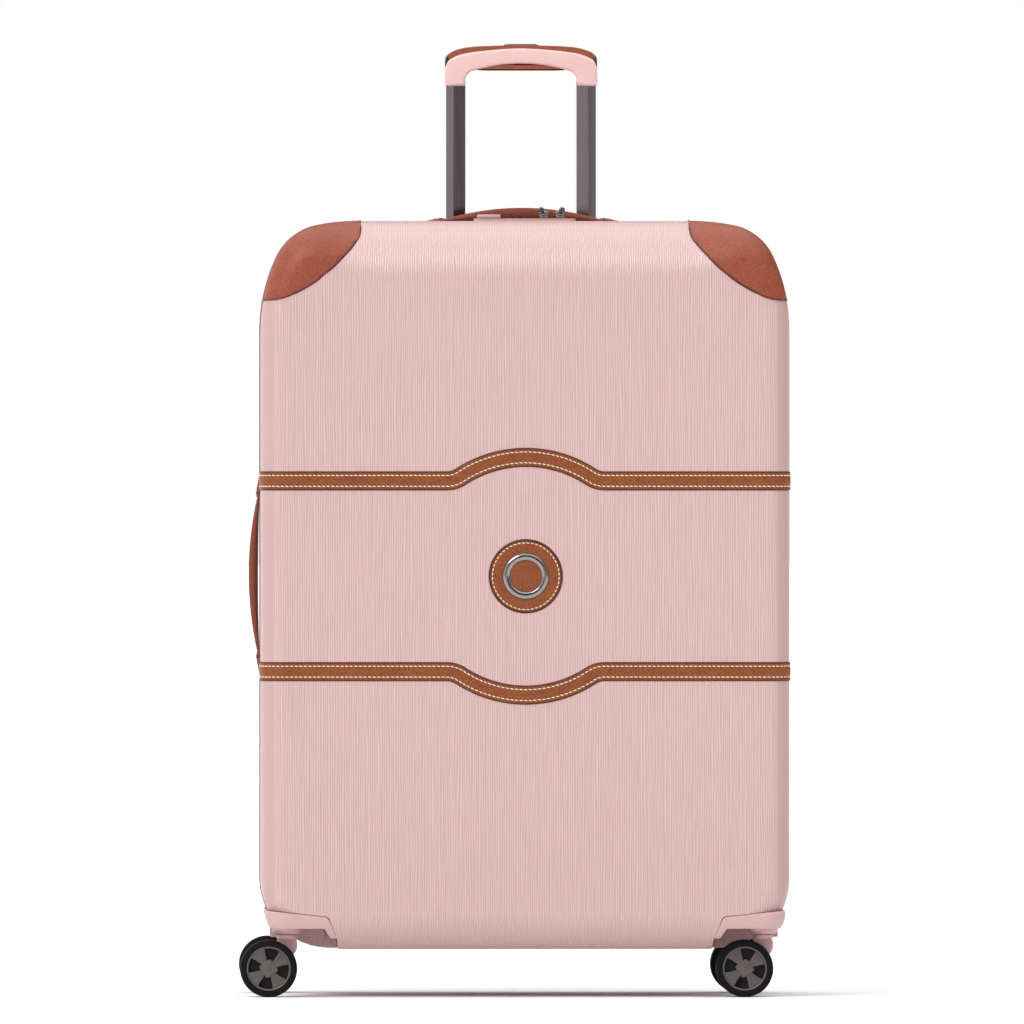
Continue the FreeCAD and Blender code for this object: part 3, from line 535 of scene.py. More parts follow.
def slab(outline, thickness, rim, place):
    """A slab with rounded rims. Place turns a point of the outline and a depth into a point."""
    outline = [Vector(point) for point in outline]
    levels = [(d * rim, i * rim) for d, i in RIM]
    levels += [(thickness - d * rim, i * rim) for d, i in reversed(RIM)]
    return skin([[place(p.x, p.y, depth) for p in drawn_in(outline, inset)]
                 for depth, inset in levels])


def turned(profile, centre, axis, steps=72):
    """A closed profile of (radius, distance along the axis) turned about the axis."""
    axis = Vector(axis)
    across = axis.orthogonal().normalized()
    other = axis.cross(across)
    rings = []
    for step in range(steps):
        angle = math.tau * step / steps
        out = across * math.cos(angle) + other * math.sin(angle)
        rings.append([Vector(centre) + out * r + axis * h for r, h in profile])
    return skin(rings, closed=True)


def ways_ahead(path):
    """The direction of a path at each of its points."""
    return [path[min(i + 1, len(path) - 1)] - path[max(i - 1, 0)] for i in range(len(path))]


def sides(path, normals):
    """Unit vectors across a path, in the surface that the normals belong to."""
    return [ahead.cross(normal).normalized() for ahead, normal in zip(ways_ahead(path), normals)]


def run(path, normals, section):
    """A closed section of (across, up) carried along a path."""
    return skin([[point + side * u + normal * v for u, v in section]
                 for point, normal, side in zip(path, normals, sides(path, normals))])


# %% [markdown]
# ## Stitches
#
# A row of lock stitches looks like short plump rods that dive into the leather at both ends. Each
# one is a small capsule along the seam, low at its ends and turned a little, as the two threads
# of the stitch pull it.

# %% Stitch rows
def evenly(path, normals, pitch):
    """Places on a path a pitch apart, with the way ahead and the normal at each."""
    lengths = [0.0]
    for a, b in zip(path, path[1:]):
        lengths.append(lengths[-1] + (b - a).length)
    count = max(1, round(lengths[-1] / pitch))
    places, i = [], 0
    for number in range(count):
        want = (number + 0.5) * lengths[-1] / count
        while lengths[i + 1] < want:
            i += 1
        t = (want - lengths[i]) / (lengths[i + 1] - lengths[i])
        ahead = (path[i + 1] - path[i]).normalized()
        normal = (normals[i] * (1 - t) + normals[i + 1] * t).normalized()
        places.append((path[i].lerp(path[i + 1], t), ahead, normal))
    return places


STITCH = ((-0.5, -0.9, 0.5), (-0.42, -0.1, 0.85), (-0.2, 0.25, 1.0),     # along, up and size
          (0.2, 0.25, 1.0), (0.42, -0.1, 0.85), (0.5, -0.9, 0.5))


def stitches(places, length=3.4, radius=0.46, rise=0.3, slant=0.12):
    """Capsules for the stitches at places on a seam."""
    made = []
    for centre, ahead, normal in places:
        side = ahead.cross(normal)
        rings = []
        for along, up, size in STITCH:
            middle = centre + (ahead + side * slant) * along * length + normal * up * rise
            rings.append([middle + side * radius * size * math.cos(a)
                          + normal * radius * 0.75 * size * math.sin(a)
                          for a in [math.tau * k / 7 for k in range(7)]])
        made.append(skin(rings))
    return joined(made)


FRONT = Vector((0, -1, 0))
one_stitch, _ = stitches([(Vector(), Vector((1, 0, 0)), FRONT)])
print("a stitch has", len(one_stitch), "points")

# %% [markdown]
# ## The two leather bands
#
# Each band lies in a shallow seat in the front shell: along the side, round the corner, across the
# face and over or under the badge. Its path is put together from straight runs and arcs, as its
# pattern is. The section is a strip with turned edges, a soft crown, and two troughs where the
# cream stitches pull it down.

# %% Band path
HALF_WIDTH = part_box("front_shell")[1].x * 1000
FACE_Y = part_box("front_shell")[0].y * 1000
BADGE_Z = middle_mm("badge_disc", "z")
HALF_BAND = 9.1
BAND_OFFSET = 93.2         # of the straight part from the badge's centre
BAND_ARC_R = 116.2         # of the arch round the badge
BLEND_R = 24.0             # between the straight part and the arch
SIDE_R = 22.0              # rounding of the case from its face to its side
BAND_END_Y = -12.0         # where the band ends, beside the zip


def arc(cx, cz, radius, start, end, steps):
    """Points of an arc between two angles in degrees."""
    angles = [math.radians(start + (end - start) * k / steps) for k in range(steps + 1)]
    return [(cx + radius * math.cos(a), cz + radius * math.sin(a)) for a in angles]


def band_path(sign):
    """The middle line of a band on the shell from left to right, and its normals."""
    blend_z = BAND_OFFSET + BLEND_R
    blend_x = math.sqrt((BAND_ARC_R + BLEND_R) ** 2 - blend_z ** 2)
    lean = math.degrees(math.atan2(blend_z, blend_x))
    z = BADGE_Z + sign * BAND_OFFSET
    path, normals = [], []
    for k in range(13):
        path.append(Vector((-HALF_WIDTH, BAND_END_Y + k * (FACE_Y + SIDE_R - BAND_END_Y) / 12, z)))
        normals.append(Vector((-1, 0, 0)))
    for k in range(1, 10):
        a = math.radians(180 + 10 * k)
        normals.append(Vector((math.cos(a), math.sin(a), 0)))
        path.append(Vector((-HALF_WIDTH + SIDE_R, FACE_Y + SIDE_R, z)) + normals[-1] * SIDE_R)
    flat = [(-HALF_WIDTH + SIDE_R + k * (HALF_WIDTH - SIDE_R - blend_x) / 24, BAND_OFFSET)
            for k in range(1, 24)]
    flat += arc(-blend_x, blend_z, BLEND_R, -90, -lean, 8)
    flat += arc(0, 0, BAND_ARC_R, 180 - lean, 90, 24)[1:]
    for x, up in flat:
        path.append(Vector((x, FACE_Y, BADGE_Z + sign * up)))
        normals.append(Vector((0, -1, 0)))
    path += [Vector((-p.x, p.y, p.z)) for p in reversed(path[:-1])]
    normals += [Vector((-n.x, n.y, n.z)) for n in reversed(normals[:-1])]
    return path, normals


# %% Bands and their stitches
SEAM_IN = 3.8              # of each stitch row from the edge
SEAM_UP = 0.72             # of each stitch row above the shell
SEAM_PITCH = 4.5           # of the stitches
# one half of a band's section: across, up and edge value, the painted shade where the edge rolls
half_section = [(HALF_BAND, -0.9, 1), (HALF_BAND, 0.35, 1), (8.85, 0.75, 1), (8.3, 0.95, 0.8),
                (7.4, 1.02, 0.25), (6.5, 0.9, 0), (5.9, 0.7, 0), (4.7, 0.7, 0), (4.1, 0.92, 0),
                (2.6, 1.12, 0), (0, 1.19, 0)]
band_section = mirrored(half_section)
for name, sign in (("upper_band", 1), ("lower_band", -1)):
    path, normals = band_path(sign)
    shape = run(path, normals, [(u, v) for u, v, e in band_section])
    # the rolled edges of the band are painted darker as shade through the edge value
    piece(name + "_leather", shape, band_leather, "front_case", [name],
          edge=[e for _ in path for u, v, e in band_section], sharp=60)
    rows = []
    for across in (HALF_BAND - SEAM_IN, SEAM_IN - HALF_BAND):
        seam = [point + side * across + normal * SEAM_UP
                for point, normal, side in zip(path, normals, sides(path, normals))]
        rows.append(stitches(evenly(seam, normals, SEAM_PITCH)))
    piece(name + "_stitches", joined(rows), thread, "front_case")

# %% [markdown]
# ## The badge
#
# A round leather patch with a turned rim, a ring of stitches and a slightly padded middle, under a
# polished ring with a bevelled top. Both are turned shapes. The ring stays plain.

# %% Badge
BADGE_SEAM_R = 32.6
SHORT_PITCH = 4.3          # of the stitches of the badge and the handles
badge_centre = Vector((0, FACE_Y, BADGE_Z))
patch = [(0, -0.95), (36.1, -0.95), (36.1, 0.3), (35.8, 0.75), (35.1, 1.0), (34.2, 0.95),
         (33.4, 0.7), (32.6, 0.5), (31.8, 0.7), (30.6, 0.92), (27, 0.95), (22, 0.9), (16.5, 0.9),
         (15.3, 1.15), (12, 1.5), (7, 1.75), (0, 1.85)]
disc = turned(patch, badge_centre, FRONT, 96)
# painted shade on the rolled rim of the patch, where the edge value is 1 and 0.6
piece("badge_leather", disc, band_leather, "front_case", ["badge_disc"],
      edge=[1.0 if r > 34.8 else 0.6 if r > 34 else 0.0 for _ in range(96) for r, h in patch])
circle = [badge_centre + Vector((BADGE_SEAM_R * math.sin(a), -0.5, BADGE_SEAM_R * math.cos(a)))
          for a in [math.tau * k / 180 for k in range(181)]]
piece("badge_stitches", stitches(evenly(circle, [FRONT] * 181, SHORT_PITCH), length=3.0),
      thread, "front_case")
ring_profile = rounded([(15.7, 0.85), (15.7, 1.6), (16.9, 2.55), (18.2, 2.75), (20.4, 2.75),
                        (21.9, 2.1), (22.6, 1.0), (22.6, 0.85)], 0.35, 2)
piece("badge_ring_polished", turned(ring_profile, badge_centre, FRONT, 120), polished_nickel,
      "front_case", ["badge_ring"])

# %% [markdown]
# ## Corner guards
#
# The leather corners keep the shape of the frame, which follows the shell. Their curved edge is
# turned under into a bead, painted dark all over as shade, with a seam in matching thread just
# inside it. Both have to lie on a doubly curved surface, so the edge is found by casting rays at
# the guard along Y, from outside the case, and the seam by the nearest points of the guard.

# %% Edge line of a guard
SHELL_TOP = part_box("front_shell")[1].z * 1000
GUARD_EDGE = [(97.7, -7.0), (97.6, -10.5), (96.6, -14.5), (93.3, -20.3), (81.0, -34.3),
              (65.5, -50.0), (49.5, -61.8), (30.6, -72.4), (20.0, -76.4), (8.0, -78.2),
              (3.5, -78.4)]
TRIM_END = 13.5            # millimetres from the plane where the halves meet


def guard_line(node, facing):
    """The curved edge of the left guard of a half, from the top zip to the side zip."""
    mesh = frame["nodes"][node].data
    tree = BVHTree.FromPolygons([v.co for v in mesh.vertices],
                                [tuple(p.vertices) for p in mesh.polygons])
    low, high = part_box(node)
    face = [Vector((-HALF_WIDTH + x, 0, SHELL_TOP + z)) / 1000
            for x, z in smooth_line(GUARD_EDGE, 6)]
    hits = []
    for point in face:
        inner = point + Vector((-0.0006, 0, 0.0003))     # a little inside the edge, for a hit
        hit = tree.ray_cast(Vector((inner.x, facing * 0.4, inner.z)), Vector((0, -facing, 0)))[0]
        if hit:
            hits.append(Vector((point.x, hit.y, point.z)) * 1000)
    top = [Vector((hits[0].x, facing * y, high.z * 1000))
           for y in (TRIM_END, 30, 50, 70) if abs(y) < abs(hits[0].y) - 6]
    last = hits[-1]
    side = [Vector((-HALF_WIDTH + 1.2, facing * y, last.z - 0.2))
            for y in (110, 90, 70, 50, 30, TRIM_END) if y < abs(last.y) - 8]
    line = smooth_line(top + hits[::2] + [last] + side, 3)
    near = [tree.find_nearest(point / 1000) for point in line]
    return tree, [hit * 1000 for hit, _, _, _ in near], [normal for _, normal, _, _ in near]


def smoothed(normals):
    """Normals averaged with the two on either side, so that a bead doesn't twist."""
    last = len(normals) - 1
    return [(normals[max(i - 2, 0)] + normals[max(i - 1, 0)] + n * 2 + normals[min(i + 1, last)]
             + normals[min(i + 2, last)]).normalized() for i, n in enumerate(normals)]


# %% Beads and seams
BEAD = [(-1.3, -0.5), (-1.3, 0.0), (-0.9, 0.36), (-0.2, 0.5), (0.5, 0.36), (0.9, 0.0), (0.9, -0.5)]
GUARD_SEAM_IN = 3.9        # of the seam from the bead
GUARD_PITCH = 4.0          # of its stitches
PAST_BOX = 0.1             # how far the trim may stand past the back of a guard
for half, body, inward in (("front", "front_case", 1), ("rear", "root", -1)):
    node = half + "_corner_guards"
    tree, line, normals = guard_line(node, -inward)
    normals = smoothed(normals)
    seam, seam_normals = [], []
    for point, side in zip(line, sides(line, normals)):
        hit, near, _, _ = tree.find_nearest((point + side * inward * GUARD_SEAM_IN) / 1000)
        seam.append(hit * 1000)
        seam_normals.append(near)
    beads, rows = [], []
    for mirror in (1, -1):
        flip = Vector((mirror, 1, 1))
        edge_line = [point * flip for point in line]
        beads.append(run(edge_line, [n * flip for n in normals], BEAD))
        rows.append(stitches(evenly([point * flip for point in seam],
                                    [n * flip for n in smoothed(seam_normals)], GUARD_PITCH),
                             length=3.3, radius=0.38, rise=0.15))
    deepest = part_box(node)[1].y * 1000 + PAST_BOX
    # the beads carry an edge value of 1 all over, so they are drawn in the leather's painted shade
    for label, parts, material in (("edges", beads, corner_leather),
                                   ("stitches", rows, red_thread)):
        points, faces = joined(parts)
        points = [Vector((p.x, min(p.y, deepest), p.z)) for p in points]
        piece(f"{half}_guard_{label}", (points, faces), material, body,
              edge=[1.0] * len(points))

# %% [markdown]
# ## Trolley grip
#
# The grip is a pink moulded U with an arched bar. A brown soft-touch pad lies over its crown and a
# smaller one under the bar, small black caps close the ends of the top pad, and a metal button
# with a black collar sits in the middle. All are slabs: an outline seen from the front, given the
# grip's depth, with rounded rims.

# %% Grip outlines
GRIP_Y = middle_mm("grip_frame", "y")
GRIP_DEPTH = (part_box("grip_frame")[1].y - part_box("grip_frame")[0].y) * 1000
GRIP_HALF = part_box("grip_frame")[1].x * 1000
GRIP_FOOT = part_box("grip_frame")[0].z * 1000


CROWN = smooth_line(mirrored([(-GRIP_HALF, 917.0), (-70.5, 922.6), (-51.0, 929.2), (0.0, 933.4)]))
PAD_TOP = smooth_line(mirrored([(-GRIP_HALF, 919.5), (-73.6, 926.0), (-64.0, 931.6),
                                (-45.0, 935.0), (0.0, 936.2)]))
ARCH = smooth_line(mirrored([(-43.5, 911.8), (-22.0, 916.2), (0.0, 917.6)]))
inner_side = [(-43.5, 911.8), (-48.5, 910.6), (-52.2, 908.2), (-54.6, 904.6), (-55.4, 899.0),
              (-55.4, GRIP_FOOT)]


def from_front(depth, centre_y=GRIP_Y):
    """Places an outline seen from the front, with its depth centred on a plane."""
    return lambda x, z, d: Vector((x, centre_y - depth / 2 + d, z))


# %% Grip parts
PAD_DEPTH = GRIP_DEPTH - 3.2
CAP_DEPTH = GRIP_DEPTH - 1.4
PAD_OVERLAP = 1.3          # of the top pad with the bar, so that no gap shows
u_shape = (CROWN + [(GRIP_HALF, GRIP_FOOT)] + [(-x, z) for x, z in reversed(inner_side)]
           + ARCH[-2:0:-1] + inner_side + [(-GRIP_HALF, GRIP_FOOT)])
top_pad = PAD_TOP + [(x, z - PAD_OVERLAP) for x, z in reversed(CROWN)][1:-1]
under_pad = ARCH + [(x * 0.9, 911.3) for x in (36, 12, -12, -36)]
for name, outline, depth, rim, material, node, slot in (
        ("grip_bar", u_shape, GRIP_DEPTH, 3.0, grip_abs, "grip_frame", "moulding"),
        ("grip_pad_over", top_pad, PAD_DEPTH, 0.9, grip_leather, "grip_top_pad", "leather"),
        ("grip_pad_under", under_pad, PAD_DEPTH, 0.7, grip_leather, "grip_under_pad", "leather")):
    piece(name, slab(outline, depth, rim, from_front(depth)), material, "trolley", [node],
          sharp=50)
caps = []
for side in (-1, 1):
    wedge = rounded([(side * 75.1, 914.5), (side * 75.1, 921.0), (side * 73.4, 925.4),
                     (side * 70.8, 923.0), (side * 72.6, 918.0)], 1.0, 3)
    caps.append(slab(wedge, CAP_DEPTH, 0.5, from_front(CAP_DEPTH)))
piece("grip_end_caps", joined(caps), dark_nylon, "trolley")

# %% Button and collar
def from_top(x0, y0, z0):
    """Places an outline seen from above, with its depth going up."""
    return lambda x, y, d: Vector((x0 + x, y0 + y, z0 + d))


COLLAR_GAP, COLLAR_WIDE = 0.3, 1.7
COLLAR_FOOT, COLLAR_EDGE, COLLAR_TOP = 932.5, 936.4, 937.0
low, high = box_mm("release_button")
half_x, half_y = high.x, (high.y - low.y) / 2
key = slab(oblong(half_x, half_y, 2.5), high.z - low.z, 0.8, from_top(0, GRIP_Y, low.z))
piece("button_cap", key, polished_nickel, "release", ["release_button"])
rim_in = oblong(half_x + COLLAR_GAP, half_y + COLLAR_GAP, 2.7)
rim_out = drawn_in(rim_in, -COLLAR_WIDE)
levels = [(rim_in, COLLAR_FOOT), (rim_out, COLLAR_FOOT), (rim_out, COLLAR_EDGE),
          (drawn_in(rim_out, 0.5), COLLAR_TOP), (drawn_in(rim_in, -0.4), COLLAR_TOP),
          (rim_in, COLLAR_EDGE)]
rings = [[Vector((p.x, GRIP_Y + p.y, z)) for p in outline] for outline, z in levels]
piece("button_collar", skin(rings, closed=True), dark_nylon, "trolley")

# %% [markdown]
# ## Trolley tubes
#
# Each moving tube is an extrusion whose front is not flat: two facets meet in a ridge a third of
# the way in from its outer side. The facet that leans outward and the one that leans inward catch
# different light, which gives the tubes their light and dark stripes.

# %% Tubes
TUBE_X = 64.5              # from the middle of the case to the middle of a tube
# one tube seen from above: outward from its middle, then back
TUBE_SECTION = [(9.55, -3.6), (2.5, -6.45), (1.9, -6.45), (1.6, -6.1), (-9.55, -4.6),
                (-9.55, 6.4), (9.55, 6.4)]
low, high = box_mm("inner_tubes")
tubes = []
for side in (-1, 1):
    profile = [Vector((side * p.x, p.y)) for p in rounded(TUBE_SECTION, 1.6, 3)]
    tubes.append(skin([[Vector((side * TUBE_X + p.x, GRIP_Y + p.y, z)) for p in profile]
                       for z in (low.z, 400, 600, 800, high.z)]))
piece("moving_tubes", joined(tubes), tube_aluminium, "trolley", ["inner_tubes"], sharp=25)

# %% [markdown]
# ## Wheels
#
# A caster has two wheels on one axle. Each has a nylon hub pressed into a polyurethane tyre. The
# hub's face has a thin bright lip, four broad spokes with fine ridges, four sunk windows and a
# square boss. The wheel is modelled once about the origin and put in place four times.

# %% Wheel parts
AXLE_Z = middle_mm("front_left_caster_tyres", "z")
low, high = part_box("front_left_caster_tyres")
WHEEL_R = high.z * 500
OUTER = (high.y - low.y) * 500   # from the middle of the caster to the wheel's outer face
INNER = 4.8                # and to its inner face
HUB_R = 21.6
HUB_TURN = math.radians(10)
WINDOW_FLOOR = 6.5         # depth of the windows below the hub's face
ORIGIN = (0, 0, 0)

tyre_profile = rounded([(HUB_R, INNER), (WHEEL_R - 0.2, INNER), (WHEEL_R, INNER + 3),
                        (WHEEL_R, OUTER - 3), (WHEEL_R - 0.3, OUTER), (HUB_R + 1.4, OUTER),
                        (HUB_R + 0.9, OUTER - 0.6), (HUB_R, OUTER - 0.6)], 2.4, 4)
lip = rounded([(HUB_R - 0.9, INNER + 0.1), (HUB_R, INNER + 0.1), (HUB_R, OUTER - 0.1),
               (HUB_R - 0.5, OUTER), (HUB_R - 1.5, OUTER - 0.5), (HUB_R - 1.9, OUTER - 1.6)],
              0.3, 2)
web_profile = [(0, INNER + 0.1), (HUB_R - 0.6, INNER + 0.1),
               (HUB_R - 0.6, OUTER - WINDOW_FLOOR), (0, OUTER - WINDOW_FLOOR)]
tyre, barrel, web_floor = [turned(profile, ORIGIN, FRONT, steps)
                           for profile, steps in ((tyre_profile, 96), (lip, 96), (web_profile, 48))]


def on_wheel(turn, top):
    """Places an outline on the wheel's face, turned about the axle; depth goes inwards."""
    c, s = math.cos(turn), math.sin(turn)
    return lambda x, z, d: Vector((x * c + z * s, -top + d, z * c - x * s))


SPOKE_R = 19.9
spoke_arc = [(SPOKE_R * math.sin(a), SPOKE_R * math.cos(a))
             for a in [math.radians(21.5 + 47 * k / 8) for k in range(9)]]
spoke = [(2.9, 7.2), (4.9, 12.2), (5.5, 12.6)] + spoke_arc + [(12.6, 5.5), (12.2, 4.9), (7.2, 2.9),
                                                             (0, 0)]
quarters, ridges = [], []
for quarter in range(4):
    turn = HUB_TURN + quarter * math.pi / 2
    quarters.append(slab(spoke, WINDOW_FLOOR, 0.5, on_wheel(turn, OUTER - 0.9)))
    for lean, start, end in ((-13, 10.5, 18.6), (0, 9.8, 18.9), (13, 10.5, 18.6)):
        rib = rounded([(-0.3, start), (0.3, start), (0.45, end), (-0.45, end)], 0.25, 2)
        ridges.append(slab(rib, 1.0, 0.2,
                           on_wheel(turn + math.radians(45 + lean), OUTER - 0.5)))
boss = slab(oblong(7.2, 7.2, 2.6), 5.0, 0.8, on_wheel(HUB_TURN + math.pi / 4, OUTER - 0.2))
cap = turned([(0, OUTER), (2.6, OUTER - 0.05), (3.6, OUTER - 0.35), (4.2, OUTER - 1.0), (0, 8)],
             ORIGIN, FRONT, 32)
hub_face = joined([barrel, boss, cap] + quarters + ridges)


def other_side(shape):
    """The same shape turned half round the upright axis, for the wheel on the other side."""
    points, faces = shape
    return [Vector((-p.x, -p.y, p.z)) for p in points], faces


# %% Forks
TRAIL = 18                 # from the swivel's axis back to the axle
BLADE = 8.6                # thickness of the fork's blade
blade = rounded([(-10.0, 57.9), (10.0, 57.9), (10.2, 46.0), (-9.4, 22.2), (-13.5, 18.4),
                 (-18.0, 17.6), (-23.5, 18.6), (-26.4, 22.4), (-10.4, 46.0)], 5.0, 5)
collar = [(4.2, 57.0), (9.9, 57.0), (9.9, 60.4), (9.2, 61.1), (4.2, 61.1)]
axle_eye = [(2.2, -4.5), (7.4, -4.5), (7.4, 4.5), (2.2, 4.5)]
fork = joined([slab(blade, BLADE, 1.4, from_front(BLADE, 0)),
               turned(collar, ORIGIN, (0, 0, 1), 48),
               turned(axle_eye, (-TRAIL, 0, AXLE_Z), (0, 1, 0), 32)])

# %% Four casters
for corner in ("front_left", "front_right", "rear_left", "rear_right"):
    tyres = corner + "_caster_tyres"
    axle = Vector((middle_mm(tyres, "x"), middle_mm(tyres, "y"), AXLE_Z))
    wheels = corner + "_wheels"
    for part, shape, material, slot, node in (
            ("tyre", tyre, tyre_pu, "tyre", "_caster_tyres"),
            ("hub", hub_face, hub_nylon, "hub", "_caster_hubs"),
            # the window floors take the painted shade material
            ("hub_floor", web_floor, hub_shade, "hub", None)):
        points, faces = joined([shape, other_side(shape)])
        piece(f"{corner}_{part}s", ([p + axle for p in points], faces), material, wheels,
              [corner + node] if node else ())
    points, faces = fork
    stem = axle + Vector((TRAIL, 0, -AXLE_Z))
    piece(f"{corner}_fork", ([p + stem for p in points], faces), pink_abs, corner + "_swivel",
          [corner + "_caster_yoke"])

# %% [markdown]
# ## Carry handles
#
# The top and side handles are a strip of spring steel in foam, wrapped in leather and sewn on top.
# They are arched above and almost flat below, so that they lie against the case. Their ends slide
# in low leather sleeves fixed to the shell. The real handle comes out when it is gripped; here the
# straps stay in place.

# %% Padded handles
FOOT_SHARE = 0.24          # height of a handle's ends, as a share of its middle
ARCH_HALF = 77             # from a handle's middle to the foot of its arch
END = 84                   # and to its ends, inside the sleeves
BEND_TO = 40               # and to a place on each half that is worked out but not used
SEAM_OUT = 8.95            # of each seam from the middle line
STEPS = 30                 # along one half
# a sleeve: place, half width, and height as a share of the handle's foot plus a length
SLEEVE = ((76.0, 12.5, 1, 0.2), (76.4, 12.9, 1, 0.7), (78.0, 13.1, 1, 0.9), (85.0, 13.0, 1, 0.7),
          (91.0, 12.6, 0.75, 0), (95.5, 11.4, 0.5, 0), (97.9, 9.4, 0, 0.5))


def handle_section(x, rise):
    """Points round a handle at a distance from its middle: across, up and painted shade value."""
    share = max(0.0, 1 - (x / ARCH_HALF) ** 2)
    top = rise * (FOOT_SHARE + (1 - FOOT_SHARE) * share) - 0.05
    low = 0.55 + 1.4 * share
    tall = top - low
    # the seam grooves, the lower sides and the underside are painted darker as shade
    return mirrored([
        (0, top, 0), (4, top - 0.02, 0), (7.6, top - 0.12, 0), (8.5, top - 0.42, 0.2),
        (9.4, top - 0.42, 0.2), (10.2, top - 0.3, 0), (11.2, top - tall * 0.2 - 0.3, 0),
        (11.85, low + tall * 0.5, 0.25), (11.9, low + tall * 0.25, 0.7), (11.4, low + 0.12, 1),
        (8, low, 1), (0, low, 1)])


def handle(name, rise, place, turn_up):
    """A padded handle in two halves, its stitches and its two sleeves."""
    for label, sign in (("first", -1), ("second", 1)):
        stations = [sign * END * (1 - k / STEPS) for k in range(STEPS + 1)]
        sections = [handle_section(x, rise) for x in stations]
        rings = [[place(x, v) + Vector((0, u, 0)) for u, v, e in section]
                 for x, section in zip(stations, sections)]
        seams = []
        for across in (SEAM_OUT, -SEAM_OUT):    # a seam lies in the section's fourth point
            seam = [place(x, section[3][1]) + Vector((0, across, 0))
                    for x, section in zip(stations, sections)]
            seams.append(stitches(evenly(seam, [turn_up] * len(seam), SHORT_PITCH), rise=0.25))
        for piece_name, shape, material, edge in (
                (f"{name}_strap_{label}", skin(rings), handle_leather,
                 [e for section in sections for u, v, e in section]),
                (f"{name}_stitches_{label}", joined(seams), red_thread, None)):
            made = piece(piece_name, shape, material, edge=edge)
            if edge:
                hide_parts(name)
            place(sign * END, 0) / 1000
            place(sign * BEND_TO, 0) / 1000
            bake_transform(made)
    foot = rise * FOOT_SHARE
    sleeves, loops = [], []
    for sign in (-1, 1):
        rings = []
        for x, wide, share, more in SLEEVE:
            high = foot * share + more
            hood = rounded([(-wide, 0.05), (wide, 0.05), (wide, high * 0.7), (wide - 1.8, high),
                            (-wide + 1.8, high), (-wide, high * 0.7)], 0.9, 2)
            rings.append([place(sign * x, p.y) + Vector((0, p.x, 0)) for p in hood])
        sleeves.append(skin(rings))
        collar = rounded([(-13.3, 0.1), (13.3, 0.1), (13.3, foot * 0.8), (11.6, foot + 1.2),
                          (-11.6, foot + 1.2), (-13.3, foot * 0.8)], 0.9, 2)
        loops.append(skin([[place(sign * x, p.y) + Vector((0, p.x * size, 0)) for p in collar]
                           for x, size in ((79.2, 0.99), (79.5, 1.0), (81.7, 1.0), (82.0, 0.99))]))
    piece(f"{name}_sleeves", joined(sleeves), corner_leather, "root", [f"{name}_mounts"])
    piece(f"{name}_loops", joined(loops), dark_nylon, "root")


HANDLE_Y = middle_mm("top_handle", "y")
side_z = middle_mm("side_handle", "z")
handle("top_handle", 14.8, lambda x, up: Vector((x, HANDLE_Y, SHELL_TOP + up)),
       Vector((0, 0, 1)))
handle("side_handle", 11.2, lambda x, up: Vector((-HALF_WIDTH - up, HANDLE_Y, side_z + x)),
       Vector((-1, 0, 0)))

# %% [markdown]
# ## Zip
#
# Each half carries a twill tape that is sewn behind its rim, with a cord along its free edge that
# the nylon teeth grip. Both follow the outline of the case from the fabric hinge over the top, down
# the left side and back along the bottom. The outline is the one that the case is moulded to: a
# top corner of three arcs and a bottom corner of one.

# %% Outline of the case
TOP_ARCS = ((175.0, 0.0, 24.9), (53.8, 24.9, 78.4), (220.0, 78.4, 90.0))  # radius, degrees
CASE_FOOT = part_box("front_shell")[0].z * 1000
BOTTOM_R = 68.0
HINGE_FROM, HINGE_TO = 130.0, 650.0


def case_line(y, low=HINGE_FROM, high=HINGE_TO, inset=0.0):
    """Points round the case from high on the right, over the top, to low on the right."""
    arcs = []
    starts = [math.radians(start) for _, start, _ in TOP_ARCS]
    down = sum(radius * (math.sin(math.radians(end)) - math.sin(math.radians(start)))
               for radius, start, end in TOP_ARCS)
    cx, cz = HALF_WIDTH - TOP_ARCS[0][0], SHELL_TOP - down
    for i, (radius, start, end) in enumerate(TOP_ARCS):
        if i:
            cx += (TOP_ARCS[i - 1][0] - radius) * math.cos(starts[i])
            cz += (TOP_ARCS[i - 1][0] - radius) * math.sin(starts[i])
        arcs += arc(cx, cz, radius - inset, start, end, 12)[1 if i else 0:]
    side, foot, radius = HALF_WIDTH - inset, CASE_FOOT + inset, BOTTOM_R - inset
    right = [(side, high + (arcs[0][1] - high) * k / 3) for k in range(3)] + arcs
    left = [(-x, z) for x, z in reversed(arcs)]
    left += [(-side, arcs[0][1] + (CASE_FOOT + BOTTOM_R - arcs[0][1]) * k / 24)
             for k in range(1, 24)]
    left += arc(-HALF_WIDTH + BOTTOM_R, CASE_FOOT + BOTTOM_R, radius, 180, 270, 12)
    base = arc(HALF_WIDTH - BOTTOM_R, CASE_FOOT + BOTTOM_R, radius, 270, 360, 12)
    return [Vector((x, y, z)) for x, z in right + left + base + [(side, low)]]


def out_normals(path):
    """Normals of a path round the case, in its own plane and pointing out."""
    return sides(path, [FRONT] * len(path))


rim_path = case_line(0.0)
rim_normals = out_normals(rim_path)

